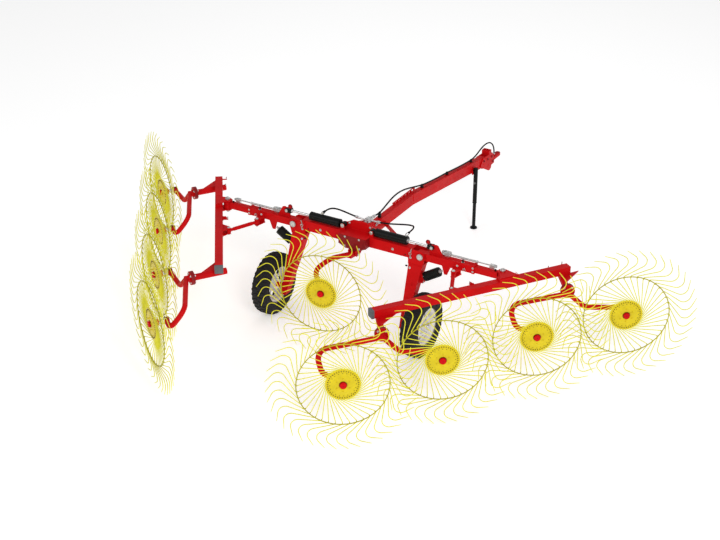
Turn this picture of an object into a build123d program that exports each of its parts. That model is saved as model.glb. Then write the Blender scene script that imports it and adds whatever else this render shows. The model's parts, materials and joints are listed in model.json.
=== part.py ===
from build123d import *
import math
import os

os.makedirs("parts", exist_ok=True)

# ---------------------------------------------------------------- driving dimensions, mm
# working frame: x = 0 at the rearmost rake hubs, +X forward to the hitch, +Y left, z = 0 on the ground
X_MID = 2534.79       # working x of the middle of the overall box, moved to the origin at the end

# rake wheels
TIP_R = 700.0           # tine tip radius
RING_R = 420.0          # wire ring radius
RING_WIRE = 6.0
TINE_WIRE = 3.5
TINES = 40
DISC_R = 160.0
HUB_Z = 706.0

# gangs: hubs lie on a line turned GANG_DEG from +X, wheel planes are turned WHEEL_DEG from +X
GANG_DEG = 35.2
WHEEL_DEG = 55.1
HUB_Y0 = 1066.0         # rearmost hub from the centre plane
PITCH = 996.0           # hub to hub along the gang
BEAM_PERP = -654.0      # beam axis, inboard of the hub line
BEAM_W, BEAM_H, BEAM_T = 80.0, 80.0, 6.0
BEAM_Z = 955.0
BEAM_A0, BEAM_A1 = 595.0, 2720.0   # beam ends along the gang
POST_A, POST_Z = 541.0, 882.0      # node of the two arms: along the gang from the rear hub of its pair, height
POST_R = 33.0
FLANGE_R = 70.0
ARM_R = 26.0
AXLE_R = 20.0
COLLAR = 150.0          # arm end to wheel plane, along the axle
Y_PERP = -328.0         # node of the two arms, inboard of the hub line

# booms
PIN_Y, PIN_Z = 750.0, 986.0     # fore-and-aft hinge pin
PIN_R = 25.0
BOOM_X, BOOM_Z = 2095.0, 980.0
OUTER_W, OUTER_H, OUTER_T = 80.0, 80.0, 6.0
INNER_W, INNER_H, INNER_T = 64.0, 64.0, 5.0
OUTER_Y0, OUTER_Y1 = 700.0, 1335.0
INNER_Y0, INNER_Y1 = 1000.0, 1580.0
PIVOT_Y = 1625.0                # vertical gang pivot
PIVOT_R = 22.0
BRACE_A = (1957.0, 1160.0)      # brace pin on the boom's bracket
BRACE_B = (1642.0, 1300.0)      # brace pin on the gang beam's bracket
BRACE_Z = 935.0

# cylinders
CYL_BASE_Y, CYL_BASE_Z = 169.0, 1096.0
LUG_Y, LUG_Z = 855.0, 1096.0
BARREL_R, ROD_R = 43.0, 12.0

# hoses
HOSE_R = 8.5
FERRULE_R, FERRULE_BORE = 16.5, 14.2

# frame
BEAM_X0, BEAM_X1 = 2045.0, 2145.0   # crossbeam, rear and front face
CROSS_Z0, CROSS_Z1 = 935.0, 1045.0
CROSS_Y = 655.0

# ground wheels, 170 wide on a 15 inch rim
TYRE_X, TYRE_Y, TYRE_R, TYRE_W = 1836.0, 883.0, 336.0, 170.0
RIM_R = 190.0

# drawbar
BAR_W, BAR_H, BAR_T = 70.0, 125.0, 6.0
BAR_PTS = [(2145.0, 968.0), (3220.0, 968.0), (5010.0, 735.0)]   # x, z of its axis

# kicker wheel
KICK = (1324.0, -20.0, 706.0)
KICK_DEG = 78.5
KICK_PIVOT = (2000.0, 850.0)        # x, z

# ---------------------------------------------------------------- helpers
g, w = math.radians(GANG_DEG), math.radians(WHEEL_DEG)
cg, sg = math.cos(g), math.sin(g)
NW = Vector(-math.sin(w), math.cos(w), 0)      # left wheel axis, rearward and outboard
HW = Vector(math.cos(w), math.sin(w), 0)

def gp(a, p, z):
    """point of the left gang: a along it from the rearmost hub, p outboard of the hub line"""
    return Vector(a * cg - p * sg, HUB_Y0 + a * sg + p * cg, z)

def hub(i):
    return gp(PITCH * i, 0, HUB_Z)

def plane_at(p, d, x=None):
    d = Vector(*d).normalized() if not isinstance(d, Vector) else d.normalized()
    if x is None:
        x = Vector(0, 0, 1).cross(d)
        if x.length < 1e-6:
            x = Vector(1, 0, 0)
    return Plane(origin=p, z_dir=d, x_dir=x)

def rod(p0, p1, r, bore=0):
    p0, p1 = Vector(*p0), Vector(*p1)
    d = p1 - p0
    s = extrude(plane_at(p0, d) * Circle(r), d.length)
    if bore:
        s -= extrude(plane_at(p0 - d.normalized(), d) * Circle(bore), d.length + 2)
    return s

def bar(p0, p1, wid, hei, t=0):
    """box section from p0 to p1, wid across and hei upright, hollow and open ended when t is given"""
    p0, p1 = Vector(*p0), Vector(*p1)
    d = p1 - p0
    pl = plane_at(p0, d)
    sk = Rectangle(wid, hei)
    if t:
        sk = sk - Rectangle(wid - 2 * t, hei - 2 * t)
    return extrude(pl * sk, d.length)

def block(x0, x1, y0, y1, z0, z1):
    return Pos((x0 + x1) / 2, (y0 + y1) / 2, (z0 + z1) / 2) * Box(x1 - x0, y1 - y0, z1 - z0)

def plate_yz(pts, x0, x1):
    """plate upright across the machine, outline in (y, z)"""
    f = make_face(Polyline(*[(x0, y, z) for y, z in pts], close=True))
    return extrude(f, x1 - x0, dir=(1, 0, 0))

def plate_xz(pts, y0, y1):
    f = make_face(Polyline(*[(x, y0, z) for x, z in pts], close=True))
    return extrude(f, y1 - y0, dir=(0, 1, 0))

def plate_xy(pts, z0, z1):
    f = make_face(Polyline(*[(x, y, z0) for x, y in pts], close=True))
    return extrude(f, z1 - z0, dir=(0, 0, 1))

def bent(pts, radii, r):
    path = FilletPolyline(*pts, radius=radii)
    return sweep(Plane(origin=path @ 0, z_dir=path % 0) * Circle(r), path=path)

def fuse(*shapes):
    s = shapes[0]
    for t in shapes[1:]:
        s = s + t
    return s

NODES = {}

def both(name, s):
    NODES[name + "_left"] = s
    NODES[name + "_right"] = mirror(s, about=Plane.XZ)

# ---------------------------------------------------------------- rake wheel, axis on local Z, cap side +Z
# tine outline in the wheel plane: radius, angle in degrees (turned with the lean), corner radius
TINE = [(150.0, 69.0, 0), (424.0, 0.0, 22.0), (597.0, 28.5, 70.0), (TIP_R - 3, 14.2, 0)]

def rake_wheel():
    pts = [(r * math.cos(math.radians(a)), r * math.sin(math.radians(a)), 0) for r, a, c in TINE]
    path = FilletPolyline(*pts, radius=[c for r, a, c in TINE[1:-1]])
    tine = trace(path, line_width=2 * TINE_WIRE)
    flat = Circle(RING_R + RING_WIRE) - Circle(RING_R - RING_WIRE) + Circle(DISC_R - 5)
    flat += [Rot(0, 0, 360 / TINES * i) * tine for i in range(TINES)]
    s = extrude(flat, TINE_WIRE, both=True)
    s += Pos(0, 0, -5) * Cylinder(DISC_R, 10, align=(Align.CENTER, Align.CENTER, Align.MIN))
    s += Pos(0, 0, -30) * Cylinder(42, 41, align=(Align.CENTER, Align.CENTER, Align.MIN))
    s -= Pos(0, 0, -60) * Cylinder(AXLE_R + 0.1, 120, align=(Align.CENTER, Align.CENTER, Align.MIN))
    return s

wheel_l = rake_wheel()
wheel_r = mirror(wheel_l, about=Plane.XZ)
for i in range(4):
    s = Plane(origin=hub(i), z_dir=NW, x_dir=HW) * wheel_l
    NODES["rake_wheel_left_%d" % (i + 1)] = s
    NODES["rake_wheel_right_%d" % (i + 1)] = mirror(s, about=Plane.XZ)
k = math.radians(KICK_DEG)
NK = Vector(-math.sin(k), -math.cos(k), 0)
HK = Vector(math.cos(k), -math.sin(k), 0)
NODES["kicker_wheel"] = Plane(origin=KICK, z_dir=NK, x_dir=HK) * wheel_r

# ---------------------------------------------------------------- gangs
def axle(h, n):
    """hub axle with its collar and cap, standing on the arm end"""
    s = rod(h - n * (COLLAR + 25), h + n * 14, AXLE_R)
    s += rod(h - n * 70, h - n * 36, 32)
    s += rod(h - n * (COLLAR + 25), h - n * (COLLAR - 12), 36)
    s += rod(h + n * 12.5, h + n * 32, 30)
    return s

# arm tables: a along from the rear wheel of the pair, p outboard of the hub line, z, corner radius
e = -(COLLAR) * NW
ea = e.X * cg + e.Y * sg
ep = -e.X * sg + e.Y * cg
REAR_ARM = [(POST_A, Y_PERP, POST_Z, 0), (-125, -332, 905, 105), (-115, -185, 712, 95), (ea, ep, HUB_Z, 0)]
FRONT_ARM = [(POST_A, Y_PERP, POST_Z, 0), (690, -262, 728, 150), (PITCH + ea, ep, HUB_Z, 0)]
POST_RUN = (Y_PERP - BEAM_PERP) / math.cos(w - g)   # node to beam axis along the axle direction

def tandem(i):
    a0 = 2 * i * PITCH
    s = bent([gp(a0 + a, p, z) for a, p, z, c in REAR_ARM], [c for a, p, z, c in REAR_ARM[1:-1]], ARM_R)
    s += bent([gp(a0 + a, p, z) for a, p, z, c in FRONT_ARM], [c for a, p, z, c in FRONT_ARM[1:-1]], ARM_R)
    y = gp(a0 + POST_A, Y_PERP, POST_Z)
    s += rod(y + NW * 12, y - NW * 60, 33)
    s += rod(y - NW * 40, y - NW * 60, FLANGE_R)
    s += axle(hub(2 * i), NW)
    s += axle(hub(2 * i + 1), NW)
    return s

both("tandem_rear", tandem(0))
both("tandem_front", tandem(1))

beam = bar(gp(BEAM_A0, BEAM_PERP, BEAM_Z), gp(BEAM_A1, BEAM_PERP, BEAM_Z), BEAM_W, BEAM_H, BEAM_T)
beam += bar(gp(BEAM_A1, BEAM_PERP, BEAM_Z), gp(BEAM_A1 + 6, BEAM_PERP, BEAM_Z), BEAM_W, BEAM_H)
for i in range(2):
    y = gp(2 * i * PITCH + POST_A, Y_PERP, POST_Z)
    cross = y - NW * POST_RUN
    beam += rod(cross - NW * 75, y - NW * 60.5, POST_R)
    beam += rod(y - NW * 78, y - NW * 60.5, FLANGE_R)
    q, r_, t_ = cross + NW * 30, cross + NW * 190, cross + Vector(cg, sg, 0) * 190 + NW * 20
    beam += plate_xy([(q.X, q.Y), (r_.X, r_.Y), (t_.X, t_.Y)], 906, 918)
# pivot cheeks above and below the boom end, and the brace bracket
pc = Vector(BOOM_X, PIVOT_Y, 0)
for z0, z1 in ((922, 934), (1020, 1032)):
    b0, b1 = gp(1930, BEAM_PERP + 30, 0), gp(2140, BEAM_PERP + 30, 0)
    beam += plate_xy([(b0.X, b0.Y), (b1.X, b1.Y), (pc.X + 52, pc.Y + 5), (pc.X + 25, pc.Y - 48), (pc.X - 25, pc.Y - 48), (pc.X - 52, pc.Y - 5)], z0, z1)
beam += bar(gp(1930, BEAM_PERP, 1007.5), gp(2140, BEAM_PERP, 1007.5), 70, 25)
beam += rod((BOOM_X, PIVOT_Y, 908), (BOOM_X, PIVOT_Y, 1046), PIVOT_R)
bb = Vector(BRACE_B[0], BRACE_B[1], 0)
for z0, z1 in ((BRACE_Z - 34, BRACE_Z - 23), (BRACE_Z + 23, BRACE_Z + 34)):
    c0, c1 = gp(1405, BEAM_PERP - 36, 0), gp(1565, BEAM_PERP - 36, 0)
    beam += plate_xy([(c0.X, c0.Y), (c1.X, c1.Y), (bb.X + 28, bb.Y + 6), (bb.X, bb.Y - 28), (bb.X - 28, bb.Y - 6)], z0, z1)
beam += bar(gp(1405, BEAM_PERP - 36, BRACE_Z), gp(1565, BEAM_PERP - 36, BRACE_Z), 12, 68)
both("gang_beam", beam)
cap = bar(gp(BEAM_A0 - 30, BEAM_PERP, BEAM_Z), gp(BEAM_A0 - 0.5, BEAM_PERP, BEAM_Z), BEAM_W + 4, BEAM_H + 4)
both("gang_cap", cap)

# ---------------------------------------------------------------- booms
outer = bar((BOOM_X, OUTER_Y0, BOOM_Z), (BOOM_X, OUTER_Y1, BOOM_Z), OUTER_W, OUTER_H, OUTER_T)
# lug that stands between the cheeks of the cylinder's rod end
outer += plate_yz([(825, 1015), (827, 1099), (834, 1113), (846, 1121.5), (858, 1123), (868, 1122), (895, 1128), (918, 1120), (975, 1015)], BOOM_X - 6, BOOM_X + 6)
outer += plate_yz([(975, 943), (1075, 943), (1035, 842), (1005, 842)], BOOM_X - 30, BOOM_X - 18)
# brace bracket on the rear face
outer += block(2043, 2056, 1125, 1195, BRACE_Z - 34, 1010)
for z0, z1 in ((BRACE_Z - 34, BRACE_Z - 23), (BRACE_Z + 23, BRACE_Z + 34)):
    outer += plate_xy([(2050, 1115), (2050, 1205), (1966, 1187), (1944, 1184), (1930, 1160), (1944, 1136), (1966, 1133)], z0, z1)
outer += rod((BRACE_A[0], BRACE_A[1], BRACE_Z - 40), (BRACE_A[0], BRACE_A[1], BRACE_Z + 40), 12)
outer -= rod((BOOM_X - 80, PIN_Y, PIN_Z), (BOOM_X + 80, PIN_Y, PIN_Z), PIN_R + 0.1)
both("boom_outer", outer)
inner = bar((BOOM_X, INNER_Y0, BOOM_Z), (BOOM_X, INNER_Y1, BOOM_Z), INNER_W, INNER_H, INNER_T)
inner += rod((BOOM_X, PIVOT_Y, 939), (BOOM_X, PIVOT_Y, 1015), 46)
inner -= rod((BOOM_X, PIVOT_Y, 900), (BOOM_X, PIVOT_Y, 1050), PIVOT_R + 0.1)
both("boom_inner", inner)
d = Vector(BRACE_B[0] - BRACE_A[0], BRACE_B[1] - BRACE_A[1], 0).normalized()
A3, B3 = Vector(BRACE_A[0], BRACE_A[1], BRACE_Z), Vector(BRACE_B[0], BRACE_B[1], BRACE_Z)
brace = rod(A3 - Vector(0, 0, 19), A3 + Vector(0, 0, 19), 24)
brace += rod(B3 - Vector(0, 0, 19), B3 + Vector(0, 0, 19), 24)
brace += rod(A3 + d * 15, B3 - d * 15, 17) + rod(A3 + d * 62, B3 - d * 62, 20)
brace -= rod(A3 - Vector(0, 0, 30), A3 + Vector(0, 0, 30), 12.1)
both("brace", brace)
# adjusting screw: loop and tube on the outer boom, loop and rod on the inner one
SX, SZ = BOOM_X + 28, 1046.0
screw_t = rod((SX, 1034, SZ), (SX, 1330, SZ), 11, 7.5) + block(SX - 16, SX + 16, 985, 1036, 1020.3, SZ + 14)
both("screw_tube", screw_t)
screw_r = rod((SX, 1185, SZ), (SX, 1480, SZ), 7) + block(SX - 16, SX + 16, 1475, 1525, 1012.3, SZ + 14)
both("screw_rod", screw_r)

# ---------------------------------------------------------------- cylinders
cyl_d = Vector(0, LUG_Y - CYL_BASE_Y, LUG_Z - CYL_BASE_Z).normalized()
C0 = Vector(BOOM_X, CYL_BASE_Y, CYL_BASE_Z)
C1 = Vector(BOOM_X, LUG_Y, LUG_Z)
barrel = rod(C0 + cyl_d * 44, C0 + cyl_d * 385, BARREL_R) + rod(C0, C0 + cyl_d * 46, 20)
barrel += rod((BOOM_X - 24, CYL_BASE_Y, CYL_BASE_Z), (BOOM_X + 24, CYL_BASE_Y, CYL_BASE_Z), 27)
barrel -= rod((BOOM_X - 30, CYL_BASE_Y, CYL_BASE_Z), (BOOM_X + 30, CYL_BASE_Y, CYL_BASE_Z), 14.1)
barrel -= rod(C0 + cyl_d * 60, C0 + cyl_d * 400, ROD_R + 0.1)
# port elbow, open socket round the hose end: port on the barrel, hose end, next hose point
PORTS = {"left": ((2103, 466, 1112), (2112, 430, 1158), (2122, 392, 1196)), "right": ((2094, 538, 1112), (2118, 556, 1155), (2147, 572, 1176))}
for side, (p0, p1, p2) in PORTS.items():
    q = Vector(*p1)
    v = (q - Vector(*p2)).normalized()
    b = barrel + rod(Vector(*p0), q + v * 14, 9) + rod(q - v * 8, q + v * 16, FERRULE_R) - rod(q - v * 9, q + v * 4, FERRULE_BORE)
    NODES["cylinder_barrel_" + side] = b if side == "left" else mirror(b, about=Plane.XZ)
crod = rod(C0 + cyl_d * 300, C1 - cyl_d * 40, ROD_R)
# forked rod end: bridge, two cheeks, pin heads on their outer sides
crod += block(BOOM_X - 26, BOOM_X + 26, LUG_Y - 50, LUG_Y - 36, LUG_Z - 22, LUG_Z + 22)
for sx in (-1, 1):
    x0, x1 = sorted((BOOM_X + sx * 10, BOOM_X + sx * 26))
    crod += block(x0, x1, LUG_Y - 48, LUG_Y, LUG_Z - 22, LUG_Z + 22) + rod((x0, LUG_Y, LUG_Z), (x1, LUG_Y, LUG_Z), 24)
    crod += rod((BOOM_X + sx * 25, LUG_Y, LUG_Z), (BOOM_X + sx * 33, LUG_Y, LUG_Z), 17)
both("cylinder_rod", crod)

# ---------------------------------------------------------------- chassis
cross_z = (CROSS_Z0 + CROSS_Z1) / 2
cross = bar((BOOM_X, -CROSS_Y, cross_z), (BOOM_X, CROSS_Y, cross_z), 100, CROSS_Z1 - CROSS_Z0, 7)
NODES["crossbeam"] = cross

LEG_TOP, LEG_LOW = 880.0, 300.0
# leg sections: height, middle x, inner y, outer y, depth fore and aft
LEG = [(LEG_LOW, 1790.0, 680.0, 735.0, 100.0), (LEG_TOP, BOOM_X, 615.0, 772.0, 112.0)]

def leg_section(z, wall):
    (z0, *low), (z1, *top) = LEG
    f = (z - z0) / (z1 - z0)
    xm, y0, y1, dep = [a + (b - a) * f for a, b in zip(low, top)]
    return Plane(origin=(xm, (y0 + y1) / 2, z), z_dir=(0, 0, 1)) * Rectangle(dep - 2 * wall, y1 - y0 - 2 * wall)

def leg():
    s = loft([leg_section(LEG_LOW, 0), leg_section(LEG_TOP, 0)], ruled=True)
    s -= loft([leg_section(LEG_LOW - 20, 7), leg_section(LEG_TOP + 20, 7)], ruled=True)
    s += block(1790 - 52, 1790 + 52, 678, 738, LEG_LOW - 8, LEG_LOW + 4)
    s += block(BOOM_X - 62, BOOM_X + 62, 612, 776, LEG_TOP - 4, LEG_TOP + 6)
    for x0 in (BOOM_X - 62, BOOM_X + 50.2):
        s += plate_yz([(612, 880), (776, 880), (797, 960), (792, 1020), (760, 1040), (626, 1045), (612, 1030)], x0, x0 + 11.8)
    s += rod((TYRE_X, 748, TYRE_R), (TYRE_X, 960, TYRE_R), 27)
    s += rod((TYRE_X, 690, TYRE_R), (TYRE_X, 775, TYRE_R), 42)
    s -= rod((BOOM_X - 90, PIN_Y, PIN_Z), (BOOM_X + 90, PIN_Y, PIN_Z), PIN_R + 0.05)
    return s

both("leg", leg())
pin = rod((BOOM_X - 76, PIN_Y, PIN_Z), (BOOM_X + 72, PIN_Y, PIN_Z), PIN_R)
pin += rod((BOOM_X - 80, PIN_Y, PIN_Z), (BOOM_X - 62.2, PIN_Y, PIN_Z), 31)
both("boom_pin", pin)
# buffer between the leg's outer side and the lug under the boom
buf0 = Vector(BOOM_X - 30, 770, 744)
bd = Vector(0, 183, 115).normalized()
buf = rod(buf0 + bd * 34, buf0 + bd * 212, 49) + rod(buf0 + bd * 208, buf0 + bd * 250, 12)
buf += rod(buf0 + bd * 18, buf0 + bd * 36, 34)
buf += plate_yz([(760.9, 700), (766.7, 790), (794, 790), (794, 700)], BOOM_X - 72, BOOM_X - 8)
both("buffer", buf)

P0, P1, P2 = [Vector(x, 0, z) for x, z in BAR_PTS]
hw_, hh = BAR_W / 2, BAR_H / 2
def bar_outline(off):
    (x0, z0), (x1, z1), (x2, z2) = BAR_PTS
    a = math.atan2(z2 - z1, x2 - x1)
    m = math.tan(-a / 2) * off
    return [(x0, z0 + off), (x1 + m, z1 + off), (x2 - math.sin(a) * off, z2 + math.cos(a) * off),
            (x2 + math.sin(a) * off, z2 - math.cos(a) * off), (x1 - m, z1 - off), (x0, z0 - off)]
drawbar = plate_xz(bar_outline(hh), -hw_, hw_) - plate_xz(bar_outline(hh - BAR_T), -hw_ + BAR_T, hw_ - BAR_T)
# struts from its sides to the crossbeam's front face
for s in (-1, 1):
    drawbar += bar((2590, s * 31, 951), (2150, s * 575, 951), 12, 50)
# comb along the top edge that leads the hoses
for i in range(7):
    x = 2860 + i * 75
    drawbar += block(x, x + 34, 18, 24, 1024, 1056)
drawbar += block(2850, 3350, 16, 26, 1050, 1060)
NODES["drawbar"] = drawbar

NODES["centre_plates"] = fuse(
    plate_xz([(2146, 905), (2146, 1060), (2250, 1100), (2420, 1040), (2420, 905)], 36, 46),
    plate_xz([(2146, 905), (2146, 1060), (2250, 1100), (2420, 1040), (2420, 905)], -46, -36),
    block(2040, 2148, -212, 212, CROSS_Z1, 1052),
    block(2146, 2420, -46, 46, 893, 905),
    # saddle in front of the cylinder ends, small lugs behind them
    plate_yz([(-212, 1048), (212, 1048), (200, 1110), (148, 1117), (74, 1157), (-74, 1157), (-148, 1117), (-200, 1110)], BOOM_X + 28, BOOM_X + 38),
    *[rod((BOOM_X - 42, s * CYL_BASE_Y, CYL_BASE_Z), (BOOM_X + 36, s * CYL_BASE_Y, CYL_BASE_Z), 14) for s in (-1, 1)],
    *[plate_yz([(s * (CYL_BASE_Y - 26), 1048), (s * (CYL_BASE_Y + 26), 1048), (s * (CYL_BASE_Y + 18), 1114), (s * (CYL_BASE_Y - 18), 1114)], BOOM_X - 38, BOOM_X - 29) for s in (-1, 1)],
    # open box behind the crossbeam, over the kicker arm
    block(1962, 2044.5, -160, 160, CROSS_Z1, 1052),
    plate_yz([(-160, 945), (-80, 907), (80, 907), (160, 945), (160, 1046), (-160, 1046)], 1962, 1972),
    block(1962, 2044.5, 150, 160, 942, 1046), block(1962, 2044.5, -160, -150, 942, 1046),
)
KICK_PLATE = [(2045, 940), (2030, 940), (1962, 884), (1962, 842), (1980, 826), (2040, 826), (2130, 885), (2130, CROSS_Z0), (2045, CROSS_Z0)]
NODES["kicker_bracket"] = fuse(
    plate_xz(KICK_PLATE, 36, 48), plate_xz(KICK_PLATE, -48, -36),
    rod((KICK_PIVOT[0], -58, KICK_PIVOT[1]), (KICK_PIVOT[0], 58, KICK_PIVOT[1]), 14),
)

# hitch: side plates on the drawbar end, a thick tongue with a vertical pin eye, an open box on top
HITCH_X = 5440.0
HITCH_BORE = 16.0
TONGUE_Z0, TONGUE_Z1 = 655.0, 690.0
TONGUE_R = 32.0
HITCH_PLATE = [(4870, 716), (4940, 806), (5190, 790), (5246, 702), (5246, 640), (5172, 636), (5166, 608), (5135, 586), (5098, 590)]
hitch = plate_xz(HITCH_PLATE, -48, -35.5) + plate_xz(HITCH_PLATE, 35.5, 48)
hitch += block(5176, 5240, -48, 48, 642, 702)
hitch += block(5088, 5100, -48, 48, 760, 842) + block(5143, 5155, -48, 48, 760, 842)
hitch += block(5090, 5153, -48, -40, 780, 842) + block(5090, 5153, 40, 48, 780, 842)
hitch += block(5236, HITCH_X, -TONGUE_R, TONGUE_R, TONGUE_Z0, TONGUE_Z1)
hitch += Pos(HITCH_X, 0, TONGUE_Z0) * Cylinder(TONGUE_R, TONGUE_Z1 - TONGUE_Z0, align=(Align.CENTER, Align.CENTER, Align.MIN))
hitch -= Pos(HITCH_X, 0, 600) * Cylinder(HITCH_BORE, 130, align=(Align.CENTER, Align.CENTER, Align.MIN))
NODES["hitch_clevis"] = hitch

# jack on the right side of the drawbar: fixed sleeve, sliding leg with a round foot
JX, JY = 4700.0, -68.0
JACK_Z0, JACK_Z1 = 330.0, 770.0
sleeve = rod((JX, JY, JACK_Z0), (JX, JY, JACK_Z1 - 8), 25, 21) + rod((JX, JY, JACK_Z1 - 8.5), (JX, JY, JACK_Z1), 25)
NODES["jack_sleeve"] = sleeve + block(JX - 40, JX + 40, -47, -35.5, 700, 762)
NODES["jack_leg"] = rod((JX, JY, 10), (JX, JY, 455), 20.5) + rod((JX, JY, 0), (JX, JY, 12), 42)

# hose routes: (x, y, z) of each point; each arc is as large as its two runs allow
HOSE_LEFT = [(2112, 430, 1158), (2122, 392, 1196), (2142, 338, 1219), (2162, 276, 1212), (2186, 214, 1188), (2214, 158, 1160), (2248, 112, 1130)]
HOSE_RIGHT = [(2118, -556, 1155), (2147, -572, 1176), (2189, -581, 1187), (2236, -566, 1191), (2274, -528, 1175), (2296, -474, 1161),
              (2304, -408, 1146), (2306, -336, 1130), (2306, -262, 1115), (2304, -192, 1106), (2300, -126, 1102)]
HOSE_DRAWBAR = [(2420, 0, 1094), (2476, 0, 1088), (2534, 0, 1085), (2606, 0, 1098), (2691, 0, 1121), (2777, 0, 1142), (2865, 0, 1153),
                (2951, 0, 1153), (3040, 0, 1142), (3125, 0, 1124), (3210, 0, 1102), (3300, 0, 1077), (3390, 0, 1053), (3477, 0, 1031),
                (3580, 0, 1012), (3685, 0, 996), (3787, 0, 981), (3888, 0, 968), (3985, 0, 957), (4082, 0, 945), (4190, 0, 929), (4300, 0, 913),
                (4412, 0, 898), (4510, 0, 886), (4605, 0, 876), (4699, 0, 867), (4786, 0, 868), (4862, 0, 884), (4930, 0, 904), (4996, 0, 920),
                (5062, 0, 926), (5128, 0, 922), (5190, 0, 908), (5244, 0, 880), (5288, 0, 842), (5318, 0, 798), (5332, 0, 750), (5336, 0, 707)]

def hose(name, pts):
    p = [Vector(*q) for q in pts]
    radii = []
    for a, b, c in zip(p, p[1:], p[2:]):
        turn = math.radians((b - a).get_angle(c - b))
        radii.append(0.45 * min((b - a).length, (c - b).length) / math.tan(turn / 2))
    path = FilletPolyline(*p, radius=radii)
    s = sweep(Plane(origin=path @ 0, z_dir=path % 0) * Circle(HOSE_R), path=path)
    print(name, "length", round(path.length), "volume over section times length", round(s.volume / (path.length * math.pi * HOSE_R ** 2), 4),
          "radii", [round(r) for r in radii])
    NODES[name] = s

hose("hose_left", HOSE_LEFT)
hose("hose_right", HOSE_RIGHT)
hose("hose_drawbar", HOSE_DRAWBAR)

def bar_top(x):
    """height of the drawbar's upper face"""
    (x1, z1), (x2, z2) = BAR_PTS[1], BAR_PTS[2]
    slope = (z2 - z1) / (x2 - x1)
    return z1 + hh if x < x1 else z1 + slope * (x - x1) + hh * math.hypot(1, slope)

# stand-offs that carry the drawbar hose: x, hose slope there
CLIPS = [(2534.0, 1085.0, 0.0), (3477.0, 1031.0, -0.2), (4082.0, 945.0, -0.13), (4699.0, 867.0, -0.05)]
NODES["hose_clips"] = fuse(*[plate_xz([(x - 15, bar_top(x - 15) + 0.05), (x + 15, bar_top(x + 15) + 0.05), (x + 15, z + 15 * m - HOSE_R - 3), (x - 15, z - 15 * m - HOSE_R - 3)], -14, 14)
                             for x, z, m in CLIPS])

# distributor above the rear of the drawbar with its three unions
HOSE_STARTS = [((2285, 28, 1100), HOSE_LEFT[-1], HOSE_LEFT[-2]), ((2300, -28, 1100), HOSE_RIGHT[-1], HOSE_RIGHT[-2]), ((2348, 0, 1098), HOSE_DRAWBAR[0], HOSE_DRAWBAR[1])]
dist = block(2250, 2350, -30, 30, 1076, 1116) + block(2280, 2320, -24, 24, 1030.6, 1077)
for p0, p1, p2 in HOSE_STARTS:
    q = Vector(*p1)
    v = (q - Vector(*p2)).normalized()
    dist += rod(Vector(*p0), q + v * 14, 10) + rod(q + v * 0.3, q + v * 15, FERRULE_R) + rod(q + v * 15, q + v * 32, 12)
NODES["hydraulic_block"] = dist

# ---------------------------------------------------------------- kicker arm
kh = Vector(*KICK)
ke = kh - NK * COLLAR
# arm points: x, y, z, corner radius
KICK_ARM = [(1930.0, 0.0, 868.0, 0), (1600.0, 40.0, 955.0, 120.0), (1490.0, 205.0, 790.0, 90.0), (ke.X, ke.Y, KICK[2], 0)]
arm = bent([p[:3] for p in KICK_ARM], [p[3] for p in KICK_ARM[1:-1]], ARM_R)
arm += axle(kh, NK)
arm += bar((1900, 0, 862), (2000, 0, 850), 60, 50)
arm += rod((2000, -30, 850), (2000, 30, 850), 30)
arm -= rod((2000, -60, 850), (2000, 60, 850), 14.1)
NODES["kicker_arm"] = arm

# ---------------------------------------------------------------- ground wheels
def revolve_y(pts, y0):
    """ring about a Y axis from an outline of (radius, y)"""
    f = make_face(Polyline(*[(r, y, 0) for r, y in pts], close=True))
    return Pos(TYRE_X, y0, TYRE_R) * revolve(f, Axis.Y)

hwid = TYRE_W / 2
tyre = revolve_y([(RIM_R + 2, -62), (217, -78), (269, -hwid), (311, -78), (329, -60), (TYRE_R, -41), (TYRE_R, 41),
                  (329, 60), (311, 78), (269, hwid), (217, 78), (RIM_R + 2, 62)], TYRE_Y)
both("tyre", tyre)
rim = revolve_y([(RIM_R, -66), (RIM_R + 1.5, -62), (RIM_R + 1.5, 62), (RIM_R, 66), (178, 62), (168, 30), (168, -30), (178, -62)], TYRE_Y)
rim += revolve_y([(27.1, -40), (60, -40), (60, 8), (110, 14), (169, 4), (169, 14), (110, 26), (52, 24), (52, 70), (27.1, 70)], TYRE_Y)
both("rim", rim)

# ---------------------------------------------------------------- move to the origin and write
if __name__ == "__main__":
    for name, s in NODES.items():
        s = Pos(-X_MID, 0, 0) * s
        export_step(s, "parts/%s.step" % name)
    bb = Compound(children=[Pos(-X_MID, 0, 0) * s for s in NODES.values()]).bounding_box()
    print(len(NODES), "nodes", bb.min, bb.max)
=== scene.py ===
import bpy, bmesh, math, json
from mathutils import Vector, Matrix


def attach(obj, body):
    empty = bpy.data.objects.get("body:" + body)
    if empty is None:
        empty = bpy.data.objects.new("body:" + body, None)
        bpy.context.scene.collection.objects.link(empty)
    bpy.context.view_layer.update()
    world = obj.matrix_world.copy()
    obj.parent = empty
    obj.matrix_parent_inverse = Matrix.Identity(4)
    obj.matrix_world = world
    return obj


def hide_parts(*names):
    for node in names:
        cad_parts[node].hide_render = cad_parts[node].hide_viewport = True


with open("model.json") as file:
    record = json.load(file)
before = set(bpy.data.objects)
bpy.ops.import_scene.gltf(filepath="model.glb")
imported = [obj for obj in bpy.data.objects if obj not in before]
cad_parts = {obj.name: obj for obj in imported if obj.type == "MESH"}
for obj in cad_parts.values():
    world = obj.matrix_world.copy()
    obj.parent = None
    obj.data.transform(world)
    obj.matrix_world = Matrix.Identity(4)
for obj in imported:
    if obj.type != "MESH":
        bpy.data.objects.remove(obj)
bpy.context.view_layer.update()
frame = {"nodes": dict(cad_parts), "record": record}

XM = 2.53479            # working x of the middle of the machine; x = 0 there is at the rearmost hubs

def W(x, y, z):
    return Vector((x - XM, y, z))

def WM(x, y, z):
    """working millimetres"""
    return Vector((x / 1000 - XM, y / 1000, z / 1000))

scene = bpy.context.scene

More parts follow.
